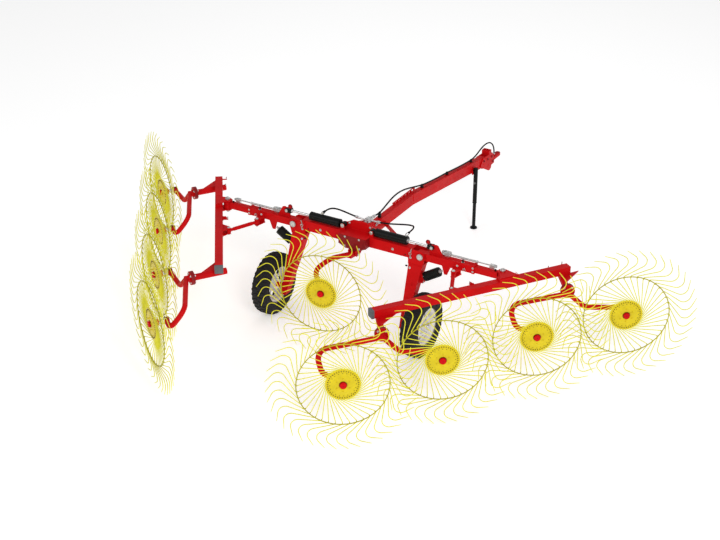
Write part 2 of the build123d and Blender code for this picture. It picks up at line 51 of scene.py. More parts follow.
# ------------------------------------------------------------------ camera
cam_data = bpy.data.cameras.new("camera")
cam = bpy.data.objects.new("camera", cam_data)
scene.collection.objects.link(cam)
look = Vector((0.76260718, 0.4447275, -0.46973157))
right = Vector((0.503769281, -0.863838244, 0.0))
up = right.cross(look)
m = Matrix.Identity(4)
for i in range(3):
    m[i][0], m[i][1], m[i][2] = right[i], up[i], -look[i]
m.translation = W(-9.18217226, -6.5953663, 7.55989242)
cam.matrix_world = m
cam_data.sensor_fit = "HORIZONTAL"
cam_data.sensor_width = 36.0
cam_data.lens = 71.38
cam_data.clip_start, cam_data.clip_end = 0.1, 200.0
cam_data.dof.use_dof = False
scene.camera = cam

# ------------------------------------------------------------------ materials
def material(name, color, rough=0.4, metal=0.0, var=0.08, scale=6.0, rvar=0.08, bump=0.15, bscale=260.0, coat=0.0,
             second=None, amount=0.0, spangle=0.0, spec=0.5):
    """procedural finish: colour drift at one scale, a second tone in patches, uneven gloss and a fine grain"""
    mt = bpy.data.materials.new(name)
    mt.use_nodes = True
    nt = mt.node_tree
    nt.nodes.clear()
    out = nt.nodes.new("ShaderNodeOutputMaterial")
    sh = nt.nodes.new("ShaderNodeBsdfPrincipled")
    nt.links.new(sh.outputs["BSDF"], out.inputs["Surface"])
    tc = nt.nodes.new("ShaderNodeTexCoord")
    n1 = nt.nodes.new("ShaderNodeTexNoise")
    n1.inputs["Scale"].default_value = scale
    n1.inputs["Detail"].default_value = 5.0
    nt.links.new(tc.outputs["Object"], n1.inputs["Vector"])
    ramp = nt.nodes.new("ShaderNodeValToRGB")
    ramp.color_ramp.elements[0].position = 0.3
    ramp.color_ramp.elements[1].position = 0.7
    ramp.color_ramp.elements[0].color = [c * (1 - var) for c in color] + [1]
    ramp.color_ramp.elements[1].color = [min(1, c * (1 + var)) for c in color] + [1]
    nt.links.new(n1.outputs["Fac"], ramp.inputs["Fac"])
    last = ramp.outputs["Color"]
    if second is not None:
        n4 = nt.nodes.new("ShaderNodeTexNoise")
        n4.inputs["Scale"].default_value = scale * 4.3
        n4.inputs["Detail"].default_value = 8.0
        n4.inputs["Roughness"].default_value = 0.7
        nt.links.new(tc.outputs["Object"], n4.inputs["Vector"])
        r4 = nt.nodes.new("ShaderNodeMapRange")
        r4.inputs["From Min"].default_value = 0.48
        r4.inputs["From Max"].default_value = 0.75
        r4.inputs["To Max"].default_value = amount
        nt.links.new(n4.outputs["Fac"], r4.inputs["Value"])
        mix = nt.nodes.new("ShaderNodeMix")
        mix.data_type = "RGBA"
        nt.links.new(r4.outputs["Result"], mix.inputs["Factor"])
        nt.links.new(last, mix.inputs[6])
        mix.inputs[7].default_value = list(second) + [1]
        last = mix.outputs[2]
    if spangle:
        vo = nt.nodes.new("ShaderNodeTexVoronoi")
        vo.inputs["Scale"].default_value = 160.0
        nt.links.new(tc.outputs["Object"], vo.inputs["Vector"])
        r5 = nt.nodes.new("ShaderNodeMapRange")
        r5.inputs["To Min"].default_value = 1 - spangle
        r5.inputs["To Max"].default_value = 1 + spangle
        sep = nt.nodes.new("ShaderNodeSeparateColor")
        nt.links.new(vo.outputs["Color"], sep.inputs["Color"])
        nt.links.new(sep.outputs["Red"], r5.inputs["Value"])
        mul = nt.nodes.new("ShaderNodeVectorMath")
        mul.operation = "SCALE"
        nt.links.new(last, mul.inputs[0])
        nt.links.new(r5.outputs["Result"], mul.inputs["Scale"])
        last = mul.outputs["Vector"]
    nt.links.new(last, sh.inputs["Base Color"])
    n2 = nt.nodes.new("ShaderNodeTexNoise")
    n2.inputs["Scale"].default_value = scale * 5
    n2.inputs["Detail"].default_value = 6.0
    nt.links.new(tc.outputs["Object"], n2.inputs["Vector"])
    r2 = nt.nodes.new("ShaderNodeMapRange")
    r2.inputs["From Min"].default_value = 0.3
    r2.inputs["From Max"].default_value = 0.7
    r2.inputs["To Min"].default_value = max(0.02, rough - rvar)
    r2.inputs["To Max"].default_value = min(1, rough + rvar)
    nt.links.new(n2.outputs["Fac"], r2.inputs["Value"])
    nt.links.new(r2.outputs["Result"], sh.inputs["Roughness"])
    n3 = nt.nodes.new("ShaderNodeTexNoise")
    n3.inputs["Scale"].default_value = bscale
    n3.inputs["Detail"].default_value = 3.0
    nt.links.new(tc.outputs["Object"], n3.inputs["Vector"])
    bp = nt.nodes.new("ShaderNodeBump")
    bp.inputs["Strength"].default_value = bump
    bp.inputs["Distance"].default_value = 0.0006
    nt.links.new(n3.outputs["Fac"], bp.inputs["Height"])
    nt.links.new(bp.outputs["Normal"], sh.inputs["Normal"])
    sh.inputs["Metallic"].default_value = metal
    sh.inputs["Specular IOR Level"].default_value = spec
    sh.inputs["Coat Weight"].default_value = coat
    sh.inputs["Coat Roughness"].default_value = 0.12
    return mt

RED = material("paint_red", (0.60, 0.004, 0.006), rough=0.44, var=0.09, scale=3.0, rvar=0.07, bump=0.10, bscale=420, spec=0.07,
               second=(0.43, 0.004, 0.005), amount=0.35)
# shaded copy of the red paint, used as painted shade on rims, gaps and faces turned from the light
RED_PAINTED_SHADE = material("paint_red_shaded", (0.26, 0.005, 0.008), rough=0.45, var=0.15, scale=9.0, bump=0.2, spec=0.2, second=(0.10, 0.004, 0.006), amount=0.6)
YELLOW = material("paint_yellow", (0.70, 0.55, 0.010), rough=0.38, var=0.10, scale=8.0, rvar=0.08, bump=0.12, bscale=380, coat=0.04, spec=0.18,
                  second=(0.46, 0.36, 0.008), amount=0.45)
WIRE = material("wire_yellow", (0.78, 0.74, 0.045), rough=0.42, var=0.10, scale=5.0, rvar=0.1, bump=0.1, bscale=500, spec=0.10,
                second=(0.54, 0.51, 0.040), amount=0.5)
RING = material("wire_ring", (0.46, 0.42, 0.015), rough=0.42, var=0.15, scale=4.0, bump=0.1, spec=0.15, second=(0.30, 0.27, 0.012), amount=0.5)
OLIVE = material("clamp_olive", (0.17, 0.13, 0.008), rough=0.5, var=0.2, scale=20.0, bump=0.2, spec=0.2, second=(0.05, 0.04, 0.01), amount=0.6)
BLACK = material("paint_black", (0.006, 0.007, 0.007), rough=0.38, var=0.2, scale=7.0, rvar=0.1, bump=0.12, coat=0.02, spec=0.12,
                 second=(0.012, 0.013, 0.013), amount=0.4)
HOSE = material("hose_rubber", (0.004, 0.004, 0.005), rough=0.5, var=0.2, scale=14.0, rvar=0.1, bump=0.35, bscale=700, spec=0.12,
                second=(0.010, 0.010, 0.010), amount=0.4)
TYRE = material("tyre_rubber", (0.012, 0.012, 0.013), rough=0.72, var=0.2, scale=9.0, rvar=0.1, bump=0.4, bscale=300, spec=0.25,
                second=(0.03, 0.029, 0.027), amount=0.5)
RIM = material("rim_white", (0.74, 0.74, 0.72), rough=0.34, var=0.05, scale=7.0, bump=0.1, coat=0.1, spec=0.4, second=(0.50, 0.49, 0.47), amount=0.35)
ZINC = material("zinc", (0.60, 0.61, 0.61), rough=0.36, metal=0.85, var=0.10, scale=22.0, rvar=0.1, bump=0.18, bscale=600,
                second=(0.42, 0.42, 0.41), amount=0.4, spangle=0.14)
CHROME = material("chrome", (0.72, 0.73, 0.75), rough=0.14, metal=1.0, var=0.04, scale=12.0, rvar=0.05, bump=0.03, bscale=900)
GREY = material("plastic_grey", (0.115, 0.125, 0.135), rough=0.55, var=0.12, scale=14.0, bump=0.3, bscale=500, second=(0.18, 0.19, 0.20), amount=0.3)
PALE = material("cap_pale", (0.60, 0.61, 0.60), rough=0.42, metal=0.25, var=0.06, scale=18.0, bump=0.12, second=(0.44, 0.45, 0.45), amount=0.3)

SLOTS = {"frame_red": RED, "wheel_yellow": YELLOW, "black_paint": BLACK, "rod_chrome": CHROME, "zinc": ZINC, "cap_plastic": GREY,
         "tyre_rubber": TYRE, "rim_paint": RIM, "hose_rubber": HOSE}

# ------------------------------------------------------------------ mesh building
class Build:
    """gathers closed shells in one mesh"""
    def __init__(self):
        self.v, self.f, self.m = [], [], []

    def add(self, verts, faces, mi=0):
        n = len(self.v)
        self.v += [tuple(p) for p in verts]
        self.f += [[i + n for i in f] for f in faces]
        self.m += [mi] * len(faces)

    def lathe(self, prof, seg=32, at=None, mi=0, closed=False):
        """prof: (radius, height) up the local Z of the matrix at; open ends on the axis are closed by fans"""
        at = at or Matrix.Identity(4)
        verts, rows = [], []
        for r, z in prof:
            if r < 1e-7:
                rows.append([len(verts)])
                verts.append(at @ Vector((0, 0, z)))
            else:
                rows.append(list(range(len(verts), len(verts) + seg)))
                verts += [at @ Vector((r * math.cos(2 * math.pi * i / seg), r * math.sin(2 * math.pi * i / seg), z)) for i in range(seg)]
        faces = []
        pairs = list(zip(rows, rows[1:])) + ([(rows[-1], rows[0])] if closed else [])
        for a, b in pairs:
            for i in range(seg):
                j = (i + 1) % seg
                if len(a) == 1 and len(b) == 1:
                    continue
                if len(a) == 1:
                    faces.append([a[0], b[j], b[i]])
                elif len(b) == 1:
                    faces.append([a[i], a[j], b[0]])
                else:
                    faces.append([a[i], a[j], b[j], b[i]])
        self.add(verts, faces, mi)

    def tube(self, pts, r, seg=8, mi=0, closed=False):
        pts = [Vector(p) for p in pts]
        n = len(pts)
        tans = []
        for i in range(n):
            a = pts[(i - 1) % n] if (closed or i > 0) else pts[i]
            b = pts[(i + 1) % n] if (closed or i < n - 1) else pts[i]
            tans.append((b - a).normalized())
        t0 = tans[0]
        u = Vector((0, 0, 1)).cross(t0)
        if u.length < 1e-3:
            u = Vector((1, 0, 0)).cross(t0)
        u.normalize()
        verts, rows = [], []
        for i in range(n):
            t = tans[i]
            u = (u - t * u.dot(t)).normalized()
            w = t.cross(u)
            rr = r[i] if isinstance(r, (list, tuple)) else r
            rows.append(list(range(len(verts), len(verts) + seg)))
            verts += [pts[i] + (u * math.cos(2 * math.pi * k / seg) + w * math.sin(2 * math.pi * k / seg)) * rr for k in range(seg)]
        faces = []
        pairs = list(zip(rows, rows[1:])) + ([(rows[-1], rows[0])] if closed else [])
        for a, b in pairs:
            faces += [[a[k], a[(k + 1) % seg], b[(k + 1) % seg], b[k]] for k in range(seg)]
        if not closed:
            faces += [list(reversed(rows[0])), rows[-1]]
        self.add(verts, faces, mi)

    def cyl(self, p0, p1, r, seg=24, mi=0, cham=0.0015):
        p0, p1 = Vector(p0), Vector(p1)
        L = (p1 - p0).length
        c = min(cham, r * 0.4, L * 0.4)
        self.lathe([(0, 0), (r - c, 0), (r, c), (r, L - c), (r - c, L), (0, L)], seg, axis(p0, p1 - p0), mi)

    def box(self, at, sx, sy, sz, mi=0, c=0.0015):
        """box centred on the matrix at, all edges chamfered"""
        x, y, z = sx / 2, sy / 2, sz / 2
        c = min(c, x * 0.6, y * 0.6, z * 0.6)
        bm = bmesh.new()
        bmesh.ops.create_cube(bm, size=1.0)
        for v in bm.verts:
            v.co = Vector((v.co.x * sx, v.co.y * sy, v.co.z * sz))
        bmesh.ops.bevel(bm, geom=bm.edges[:], offset=c, segments=1, affect="EDGES", profile=0.5)
        bm.verts.index_update()
        self.add([at @ v.co for v in bm.verts], [[v.index for v in f.verts] for f in bm.faces], mi)
        bm.free()

    def bolt(self, p, n, r=0.009, h=0.007, mi=0, washer=True):
        """hexagon head on a washer, seated at p and standing along n"""
        at = axis(Vector(p), Vector(n))
        if washer:
            self.lathe([(0, -0.001), (r * 1.45, -0.001), (r * 1.45, 0.0012), (r * 1.35, 0.0018), (0, 0.0018)], 20, at, mi)
        self.lathe([(0, 0.001), (r, 0.001), (r, h), (r * 0.86, h + 0.001), (0, h + 0.001)], 6, at, mi)
        self.lathe([(0, h), (r * 0.5, h), (r * 0.5, h + 0.004), (r * 0.4, h + 0.005), (0, h + 0.005)], 12, at, mi)

    def torus(self, at, R, r, seg=32, sides=8, mi=0):
        self.tube([at @ Vector((R * math.cos(2 * math.pi * i / seg), R * math.sin(2 * math.pi * i / seg), 0)) for i in range(seg)], r, sides, mi, closed=True)

    def plate(self, pts, n, t, mi=0, c=0.001):
        """flat plate from an outline of points in order, t thick along n, edges chamfered"""
        pts = [Vector(p) for p in pts]
        n = Vector(n).normalized()
        bm = bmesh.new()
        a = [bm.verts.new(p) for p in pts]
        b = [bm.verts.new(p + n * t) for p in pts]
        bm.faces.new(a)
        bm.faces.new(list(reversed(b)))
        k = len(pts)
        for i in range(k):
            bm.faces.new([a[i], b[i], b[(i + 1) % k], a[(i + 1) % k]])
        bmesh.ops.recalc_face_normals(bm, faces=bm.faces[:])
        if c:
            bmesh.ops.bevel(bm, geom=bm.edges[:], offset=min(c, t * 0.3), segments=1, affect="EDGES", profile=0.5)
        bm.verts.index_update()
        self.add([v.co.copy() for v in bm.verts], [[v.index for v in f.verts] for f in bm.faces], mi)
        bm.free()

    def mesh(self, name, mats, angle=38):
        me = bpy.data.meshes.new(name)
        me.from_pydata(self.v, [], self.f)
        for mt in mats:
            me.materials.append(mt)
        me.polygons.foreach_set("material_index", self.m)
        bm = bmesh.new()
        bm.from_mesh(me)
        bmesh.ops.recalc_face_normals(bm, faces=bm.faces[:])
        bm.to_mesh(me)
        bm.free()
        me.polygons.foreach_set("use_smooth", [True] * len(me.polygons))
        me.set_sharp_from_angle(angle=math.radians(angle))
        return me

    def make(self, name, mats, body, slot, at=None, angle=38):
        return place(name, self.mesh(name, mats, angle), body, at)

def place(name, me, body, at=None):
    ob = bpy.data.objects.new(name, me)
    scene.collection.objects.link(ob)
    if at is not None:
        ob.matrix_world = at
    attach(ob, body)
    return ob

def axis(p, d, x=None):
    """matrix at p with Z along d"""
    z = Vector(d).normalized()
    if x is None:
        x = Vector((0, 0, 1)).cross(z)
        if x.length < 1e-4:
            x = Vector((1, 0, 0))
    x = (Vector(x) - z * z.dot(Vector(x))).normalized()
    y = z.cross(x)
    return Matrix(((x.x, y.x, z.x, p[0]), (x.y, y.y, z.y, p[1]), (x.z, y.z, z.z, p[2]), (0, 0, 0, 1)))

def mirror_mesh(me, name):
    """copy mirrored in local Y"""
    c = me.copy()
    c.name = name
    c.transform(Matrix.Diagonal((1, -1, 1, 1)))
    c.flip_normals()
    return c

def arc_path(pts, radii, steps=6):
    """straight runs with round corners, the way a bent wire lies"""
    pts = [Vector(p) for p in pts]
    out = [pts[0]]
    for a, b, c, r in zip(pts, pts[1:], pts[2:], radii):
        u, v = (a - b).normalized(), (c - b).normalized()
        half = u.angle(v) / 2
        d = min(r / math.tan(half), 0.49 * (a - b).length, 0.49 * (c - b).length)
        rr = d * math.tan(half)
        cen = b + (u + v).normalized() * (rr / math.sin(half))
        s, e = b + u * d - cen, b + v * d - cen
        tot = s.angle(e)
        for i in range(steps + 1):
            t = i / steps
            out.append(cen + (s * math.sin((1 - t) * tot) + e * math.sin(t * tot)) / math.sin(tot))
    out.append(pts[-1])
    return out

SIDES = (("left", 1), ("right", -1))
g, w = math.radians(35.2), math.radians(55.1)
cg, sg = math.cos(g), math.sin(g)

def GP(a, p, z, s=1):
    """point of a gang in metres: a along it from the rearmost hub, p outboard of the hub line"""
    return W(a * cg - p * sg, s * (1.066 + a * sg + p * cg), z)

def NWS(s):
    return Vector((-math.sin(w), s * math.cos(w), 0))

def HWS(s):
    return Vector((math.cos(w), s * math.sin(w), 0))

def US(s):
    """direction along a gang"""
    return Vector((cg, s * sg, 0))

# ------------------------------------------------------------------ hoses
HOSE_LEFT = [(2248, 112, 1130), (2214, 158, 1160), (2186, 214, 1188), (2162, 276, 1212), (2142, 338, 1219), (2122, 392, 1196), (2112, 430, 1158)]
HOSE_RIGHT = [(2300, -126, 1102), (2304, -192, 1106), (2306, -262, 1115), (2306, -336, 1130), (2304, -408, 1146), (2296, -474, 1161),
              (2274, -528, 1175), (2236, -566, 1191), (2189, -581, 1187), (2147, -572, 1176), (2118, -556, 1155)]
HOSE_DRAWBAR = [(2420, 0, 1094), (2476, 0, 1088), (2534, 0, 1085), (2606, 0, 1098), (2691, 0, 1121), (2777, 0, 1142), (2865, 0, 1153),
                (2951, 0, 1153), (3040, 0, 1142), (3125, 0, 1124), (3210, 0, 1102), (3300, 0, 1077), (3390, 0, 1053), (3477, 0, 1031),
                (3580, 0, 1012), (3685, 0, 996), (3787, 0, 981), (3888, 0, 968), (3985, 0, 957), (4082, 0, 945), (4190, 0, 929), (4300, 0, 913),
                (4412, 0, 898), (4510, 0, 886), (4605, 0, 876), (4699, 0, 867), (4786, 0, 868), (4862, 0, 884), (4930, 0, 904), (4996, 0, 920),
                (5062, 0, 926), (5128, 0, 922), (5190, 0, 908), (5244, 0, 880), (5288, 0, 842), (5318, 0, 798), (5332, 0, 750), (5336, 0, 707)]

def hose(name, pts, node):
    cu = bpy.data.curves.new(name, "CURVE")
    cu.dimensions = "3D"
    sp = cu.splines.new("NURBS")
    sp.points.add(len(pts) - 1)
    for q, p in zip(sp.points, pts):
        q.co = list(WM(*p)) + [1]
    sp.order_u = 3
    sp.use_endpoint_u = True
    cu.resolution_u = 8
    cu.bevel_depth = 0.0085
    cu.bevel_resolution = 3
    cu.use_fill_caps = True
    cu.materials.append(HOSE)
    ob = bpy.data.objects.new(name, cu)
    scene.collection.objects.link(ob)
    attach(ob, "chassis")
    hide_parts(node)
    return ob

hose("lift_hose_left", HOSE_LEFT, "hose_left")
hose("lift_hose_right", HOSE_RIGHT, "hose_right")
hose("feed_hose", HOSE_DRAWBAR, "hose_drawbar")

# ------------------------------------------------------------------ rake wheels
TINE = [(0.146, 69.0), (0.424, 0.0), (0.597, 28.5), (0.697, 14.2)]
TINES = 40

def wheel_mesh():
    b = Build()
    P = [Vector((r * math.cos(math.radians(a)), r * math.sin(math.radians(a)), 0)) for r, a in TINE]
    path = arc_path(P, [0.022, 0.070], 7)
    for i in range(TINES):
        rot = Matrix.Rotation(2 * math.pi * i / TINES, 4, "Z")
        # the wire lies in the wheel's plane and is thinner at its end
        q = [rot @ Vector((p.x, p.y, 0.0)) for p in path]
        rr = [0.0042] * (len(q) - 1) + [0.0028]
        b.tube(q, rr, 8, 0)
        # eye of the wire wound round the ring
        c = rot @ Vector((0.4155, 0.010, 0.0048))
        t = rot @ Vector((0.06, 1, 0))
        b.torus(axis(c + Vector((0, 0, 0.0)), t), 0.0078, 0.0021, 10, 5, 1)
        # clamp at the wire's root under the disc's rim
        a0 = rot @ Vector((0.139 * math.cos(math.radians(66)), 0.139 * math.sin(math.radians(66)), 0.0062))
        b.box(axis(a0, (0, 0, 1), rot @ Vector((math.cos(math.radians(66)), math.sin(math.radians(66)), 0))), 0.013, 0.0075, 0.0036, 3, 0.0008)
        a1 = rot @ Vector((0.119 * math.cos(math.radians(70)), 0.119 * math.sin(math.radians(70)), 0.0052))
        if i % 2 == 0:
            b.lathe([(0, 0), (0.0042, 0), (0.0042, 0.0028), (0.003, 0.0040), (0, 0.0044)], 8, axis(a1, (0, 0, 1)), 3)
    b.torus(Matrix.Translation((0, 0, 0.0085)), 0.420, 0.0055, 120, 8, 1)
    disc = [(0.021, -0.030), (0.042, -0.030), (0.0435, -0.028), (0.0435, -0.012), (0.060, -0.010), (0.108, -0.0085), (0.116, -0.0055), (0.150, -0.0055),
            (0.157, -0.0050), (0.160, -0.003), (0.160, 0.003), (0.1575, 0.0052), (0.150, 0.0058), (0.146, 0.0046), (0.128, 0.0046), (0.124, 0.0062),
            (0.116, 0.0072), (0.112, 0.0062), (0.092, 0.0072), (0.086, 0.0104), (0.078, 0.0112), (0.058, 0.0112), (0.050, 0.0118), (0.0435, 0.0122),
            (0.0425, 0.0110), (0.041, 0.0108), (0.021, 0.0108)]
    b.lathe(disc, 72, None, 2, closed=True)
    for i in range(6):
        rot = Matrix.Rotation(2 * math.pi * (i + 0.5) / 6, 4, "Z")
        b.bolt(rot @ Vector((0.066, 0, 0.0110)), (0, 0, 1), 0.0065, 0.005, 2)
        b.bolt(rot @ Vector((0.066, 0, -0.0095)), (0, 0, -1), 0.0065, 0.006, 4)
    # bearing seal
    b.lathe([(0.021, 0.0104), (0.037, 0.0104), (0.037, 0.0120), (0.021, 0.0120)], 32, None, 5, closed=True)
    return b.mesh("rake_wheel", [WIRE, RING, YELLOW, OLIVE, ZINC, BLACK])

wheel_l = wheel_mesh()
wheel_r = mirror_mesh(wheel_l, "rake_wheel_r")
for s, k in SIDES:
    for i in range(4):
        c = GP(0.996 * i, 0, 0.706, k)
        ob = place("raking_wheel_%s_%d" % (s, i + 1), wheel_l if k == 1 else wheel_r, "rake_%s_%d" % (s, i + 1), axis(c, NWS(k), HWS(k)))
        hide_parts("rake_wheel_%s_%d" % (s, i + 1))
kk = math.radians(78.5)
NK = Vector((-math.sin(kk), -math.cos(kk), 0))
HK = Vector((math.cos(kk), -math.sin(kk), 0))
KICK = W(1.324, -0.020, 0.706)
ob = place("raking_wheel_kicker", wheel_r, "kicker_wheel", axis(KICK, NK, HK))
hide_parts("kicker_wheel")

# hub ends: domed cap, gap seal, collars and spacers on each axle
def hub_trim(name, c, n, body):
    b = Build()
    at = axis(c, n)
    b.lathe([(0, 0.0350), (0.012, 0.0347), (0.022, 0.0332), (0.0285, 0.0300), (0.0305, 0.0255), (0.0308, 0.0145), (0.0300, 0.0124), (0, 0.0124)], 36, at, 0)
    # the gap seal and the nub on the cap's tip get the shaded red: painted shade
    b.lathe([(0.0302, 0.0124), (0.0345, 0.0124), (0.0345, 0.0140), (0.0302, 0.0140)], 36, at, 1, closed=True)
    b.lathe([(0, 0.033), (0.005, 0.0358), (0.0045, 0.0372), (0, 0.0376)], 12, at, 1)
    b.lathe([(0.0205, -0.0335), (0.033, -0.0335), (0.0335, -0.035), (0.033, -0.0365), (0.0205, -0.0365)], 32, at, 2, closed=True)
    for z0, z1, r in ((-0.073, -0.070, 0.0345), (-0.1385, -0.1345, 0.040), (-0.146, -0.142, 0.0375)):
        b.lathe([(0.0203, z0), (r - 0.001, z0), (r, z0 + 0.001), (r, z1 - 0.001), (r - 0.001, z1), (0.0203, z1)], 32, at, 2 if r > 0.036 else 3, closed=True)
    # grease nipple on the collar
    side = at.to_3x3() @ Vector((0, 1, 0))
    p = at @ Vector((0, 0, -0.053)) + side * 0.0315
    b.lathe([(0, 0), (0.004, 0), (0.004, 0.004), (0.0026, 0.005), (0.0026, 0.008), (0.0034, 0.010), (0.002, 0.012), (0, 0.012)], 10, axis(p, side), 3)
    b.make(name, [RED, RED_PAINTED_SHADE, BLACK, ZINC], body, "frame_red")

for s, k in SIDES:
    for i in range(4):
        hub_trim("hub_trim_%s_%d" % (s, i + 1), GP(0.996 * i, 0, 0.706, k), NWS(k), "gang_" + s)
hub_trim("hub_trim_kicker", KICK, NK, "kicker_arm")

# ------------------------------------------------------------------ road wheels
def T(r):
    """side wall stretched from the bead out to the tread"""
    return 0.192 + (r - 0.192) * 1.1034

def tyre_mesh():
    b = Build()
    prof = [(0.192, -0.060), (0.196, -0.068), (0.206, -0.0715), (0.216, -0.0735), (0.222, -0.0785), (0.228, -0.0790), (0.240, -0.0805), (0.262, -0.0818),
            (0.282, -0.0785), (0.287, -0.0795), (0.293, -0.0775), (0.302, -0.071), (0.309, -0.0600), (0.3125, -0.045), (0.3145, -0.02), (0.315, 0)]
    prof = prof + [(r, -z) for r, z in reversed(prof[:-1])]
    prof = [(T(r), z * 1.03) for r, z in prof]
    b.lathe(prof, 96, None, 0, closed=True)
    N = 34
    for i in range(N):
        for sy, ph in ((1, 0.0), (-1, 0.5)):
            a0 = 2 * math.pi * (i + ph) / N
            # lug: from the shoulder to the crown, swept forward
            secs = []
            for y, da, r in ((0.0800, -0.016, 0.2960), (0.0725, -0.010, 0.3085), (0.0590, -0.001, 0.3175), (0.0330, 0.022, 0.3215), (0.0060, 0.048, 0.3222)):
                a = a0 + da
                wd = 0.0092 if y < 0.05 else 0.0105
                secs.append((y * sy * 1.03, a, T(r), wd / r))
            verts, faces = [], []
            for y, a, r, h in secs:
                for rr, hh in ((r, h * 0.82), (r - 0.014, h * 1.1)):
                    for q in (-1, 1):
                        verts.append((rr * math.cos(a + q * hh), rr * math.sin(a + q * hh), y))
            for j in range(len(secs) - 1):
                o, p = 4 * j, 4 * j + 4
                faces += [[o, o + 1, p + 1, p], [o + 1, o + 3, p + 3, p + 1], [o + 3, o + 2, p + 2, p + 3], [o + 2, o, p, p + 2]]
            faces += [[0, 2, 3, 1], [len(verts) - 4, len(verts) - 3, len(verts) - 1, len(verts) - 2]]
            b.add(verts, faces, 0)
    # raised rings and small bars on each side wall
    for sy in (-1, 1):
        for R, z in ((0.232, 0.0797), (0.275, 0.0802)):
            b.torus(Matrix.Translation((0, 0, sy * z * 1.03)), T(R), 0.0016, 72, 6, 0)
        for i in range(24):
            a = 2 * math.pi * i / 24
            at = Matrix.Rotation(a, 4, "Z") @ Matrix.Translation((T(0.253), 0, sy * 0.0836))
            b.box(at, 0.020, 0.006, 0.003, 0, 0.0008)
    return b.mesh("road_tyre", [TYRE], 30)

def rim_mesh():
    """axis on local Z, outboard side +Z"""
    b = Build()
    well = [(0.1965, -0.068), (0.1985, -0.0645), (0.1965, -0.0610), (0.1915, -0.0600), (0.1895, -0.0540), (0.176, -0.046), (0.170, -0.032), (0.168, -0.020),
            (0.168, 0.020), (0.170, 0.032), (0.176, 0.046), (0.1895, 0.0540), (0.1915, 0.0600), (0.1965, 0.0610), (0.1985, 0.0645), (0.1965, 0.068)]
    inner = [(r - 0.0035, z) for r, z in well]
    inner[0], inner[-1] = (0.1935, -0.067), (0.1935, 0.067)
    b.lathe(well + list(reversed(inner)), 72, None, 0, closed=True)
    # wheel disc with eight round windows: quads round each window, filled out to the disc's edges
    N, M = 8, 12
    rc, rw = 0.128, 0.022
    def zc(r):
        t = min(1, max(0, (r - 0.060) / 0.105))
        return 0.024 + 0.018 * math.sin(math.pi * t) - 0.012 * t
    verts, faces = [], []
    idx = {}
    def vert(r, a, th):
        key = (round(r, 6), round(a % (2 * math.pi), 6) % round(2 * math.pi, 6), th)
        if key not in idx:
            idx[key] = len(verts)
            verts.append((r * math.cos(a), r * math.sin(a), zc(r) + (0.004 if th else 0)))
        return idx[key]
    for th in (0, 1):
        for i in range(N):
            a0 = 2 * math.pi * i / N
            ring_in, ring_out = [], []
            for j in range(M):
                q = 2 * math.pi * j / M
                x, y = math.cos(q), math.sin(q)
                ring_in.append((rc + rw * x, a0 + rw * y / rc))
                # outer cell border: a rectangle in (r, angle)
                sx = 0.0405 if x > 0 else 0.038
                k = 1 / max(abs(x), abs(y))
                ring_out.append((rc + sx * x * k, a0 + math.pi / N * y * k))
            vi = [vert(r, a, th) for r, a in ring_in]
            vo = [vert(r, a, th) for r, a in ring_out]
            for j in range(M):
                k = (j + 1) % M
                faces.append([vi[j], vo[j], vo[k], vi[k]] if th else [vi[j], vi[k], vo[k], vo[j]])
    # window walls
    for i in range(N):
        a0 = 2 * math.pi * i / N
        lo = [vert(rc + rw * math.cos(2 * math.pi * j / M), a0 + rw * math.sin(2 * math.pi * j / M) / rc, 0) for j in range(M)]
        hi = [vert(rc + rw * math.cos(2 * math.pi * j / M), a0 + rw * math.sin(2 * math.pi * j / M) / rc, 1) for j in range(M)]
        for j in range(M):
            k = (j + 1) % M
            faces.append([lo[j], lo[k], hi[k], hi[j]])
    b.add(verts, faces, 0)
    # hub flange, hub and its cap
    b.lathe([(0.0275, 0.018), (0.0905, 0.0345), (0.0915, 0.0365), (0.0905, 0.0405), (0.060, 0.030), (0.0275, 0.030)], 48, None, 0, closed=True)
    b.lathe([(0.0275, -0.040), (0.058, -0.040), (0.060, -0.038), (0.060, 0.020), (0.052, 0.026), (0.050, 0.062), (0.046, 0.070), (0.0275, 0.070)], 40, None, 0, closed=True)
    # painted shade: discs of black paint, set back in the dish, fill the mouths of the windows
    for i in range(N):
        a = 2 * math.pi * i / N
        b.lathe([(0, 0.008), (0.0225, 0.008), (0.0225, 0.006), (0, 0.006)], 16, Matrix.Translation((rc * math.cos(a), rc * math.sin(a), 0.004)), 3)
    b.lathe([(0, 0.0885), (0.018, 0.088), (0.026, 0.085), (0.030, 0.078), (0.031, 0.0695), (0, 0.0695)], 32, None, 2)
    for i in range(5):
        a = 2 * math.pi * i / 5
        b.bolt((0.072 * math.cos(a), 0.072 * math.sin(a), 0.0345), (0, 0, 1), 0.0095, 0.010, 2)
    b.lathe([(0, 0), (0.004, 0), (0.004, 0.030), (0.003, 0.032), (0, 0.032)], 10, axis(Vector((0.175, 0.02, 0.045)), Vector((-0.2, 0, 1))), 3)
    return b.mesh("road_rim", [RIM, RED, ZINC, BLACK], 35)

ty, rm = tyre_mesh(), rim_mesh()
for s, k in SIDES:
    at = axis(W(1.836, k * 0.883, 0.336), (0, k, 0), (1, 0, 0))
    ob = place("road_tyre_" + s, ty, "wheel_" + s, at)
    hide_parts("tyre_" + s)
    ob = place("road_rim_" + s, rm, "wheel_" + s, at)
    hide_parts("rim_" + s)

# ------------------------------------------------------------------ small parts
TRIM = [RED, ZINC, PALE, BLACK, RED_PAINTED_SHADE]       # material numbers 0 to 4 in the pieces below; number 4, the shaded red, is painted shade

def domed(b, p, n, r, h, mi):
    """domed cap of radius r standing h along n"""
    prof = [(0, h)] + [(r * math.sin(a), h * (0.25 + 0.75 * math.cos(a))) for a in (0.3, 0.6, 0.9, 1.2, 1.45)] + [(r, h * 0.2), (r, -0.001), (0, -0.001)]
    b.lathe(prof, 28, axis(p, n), mi)

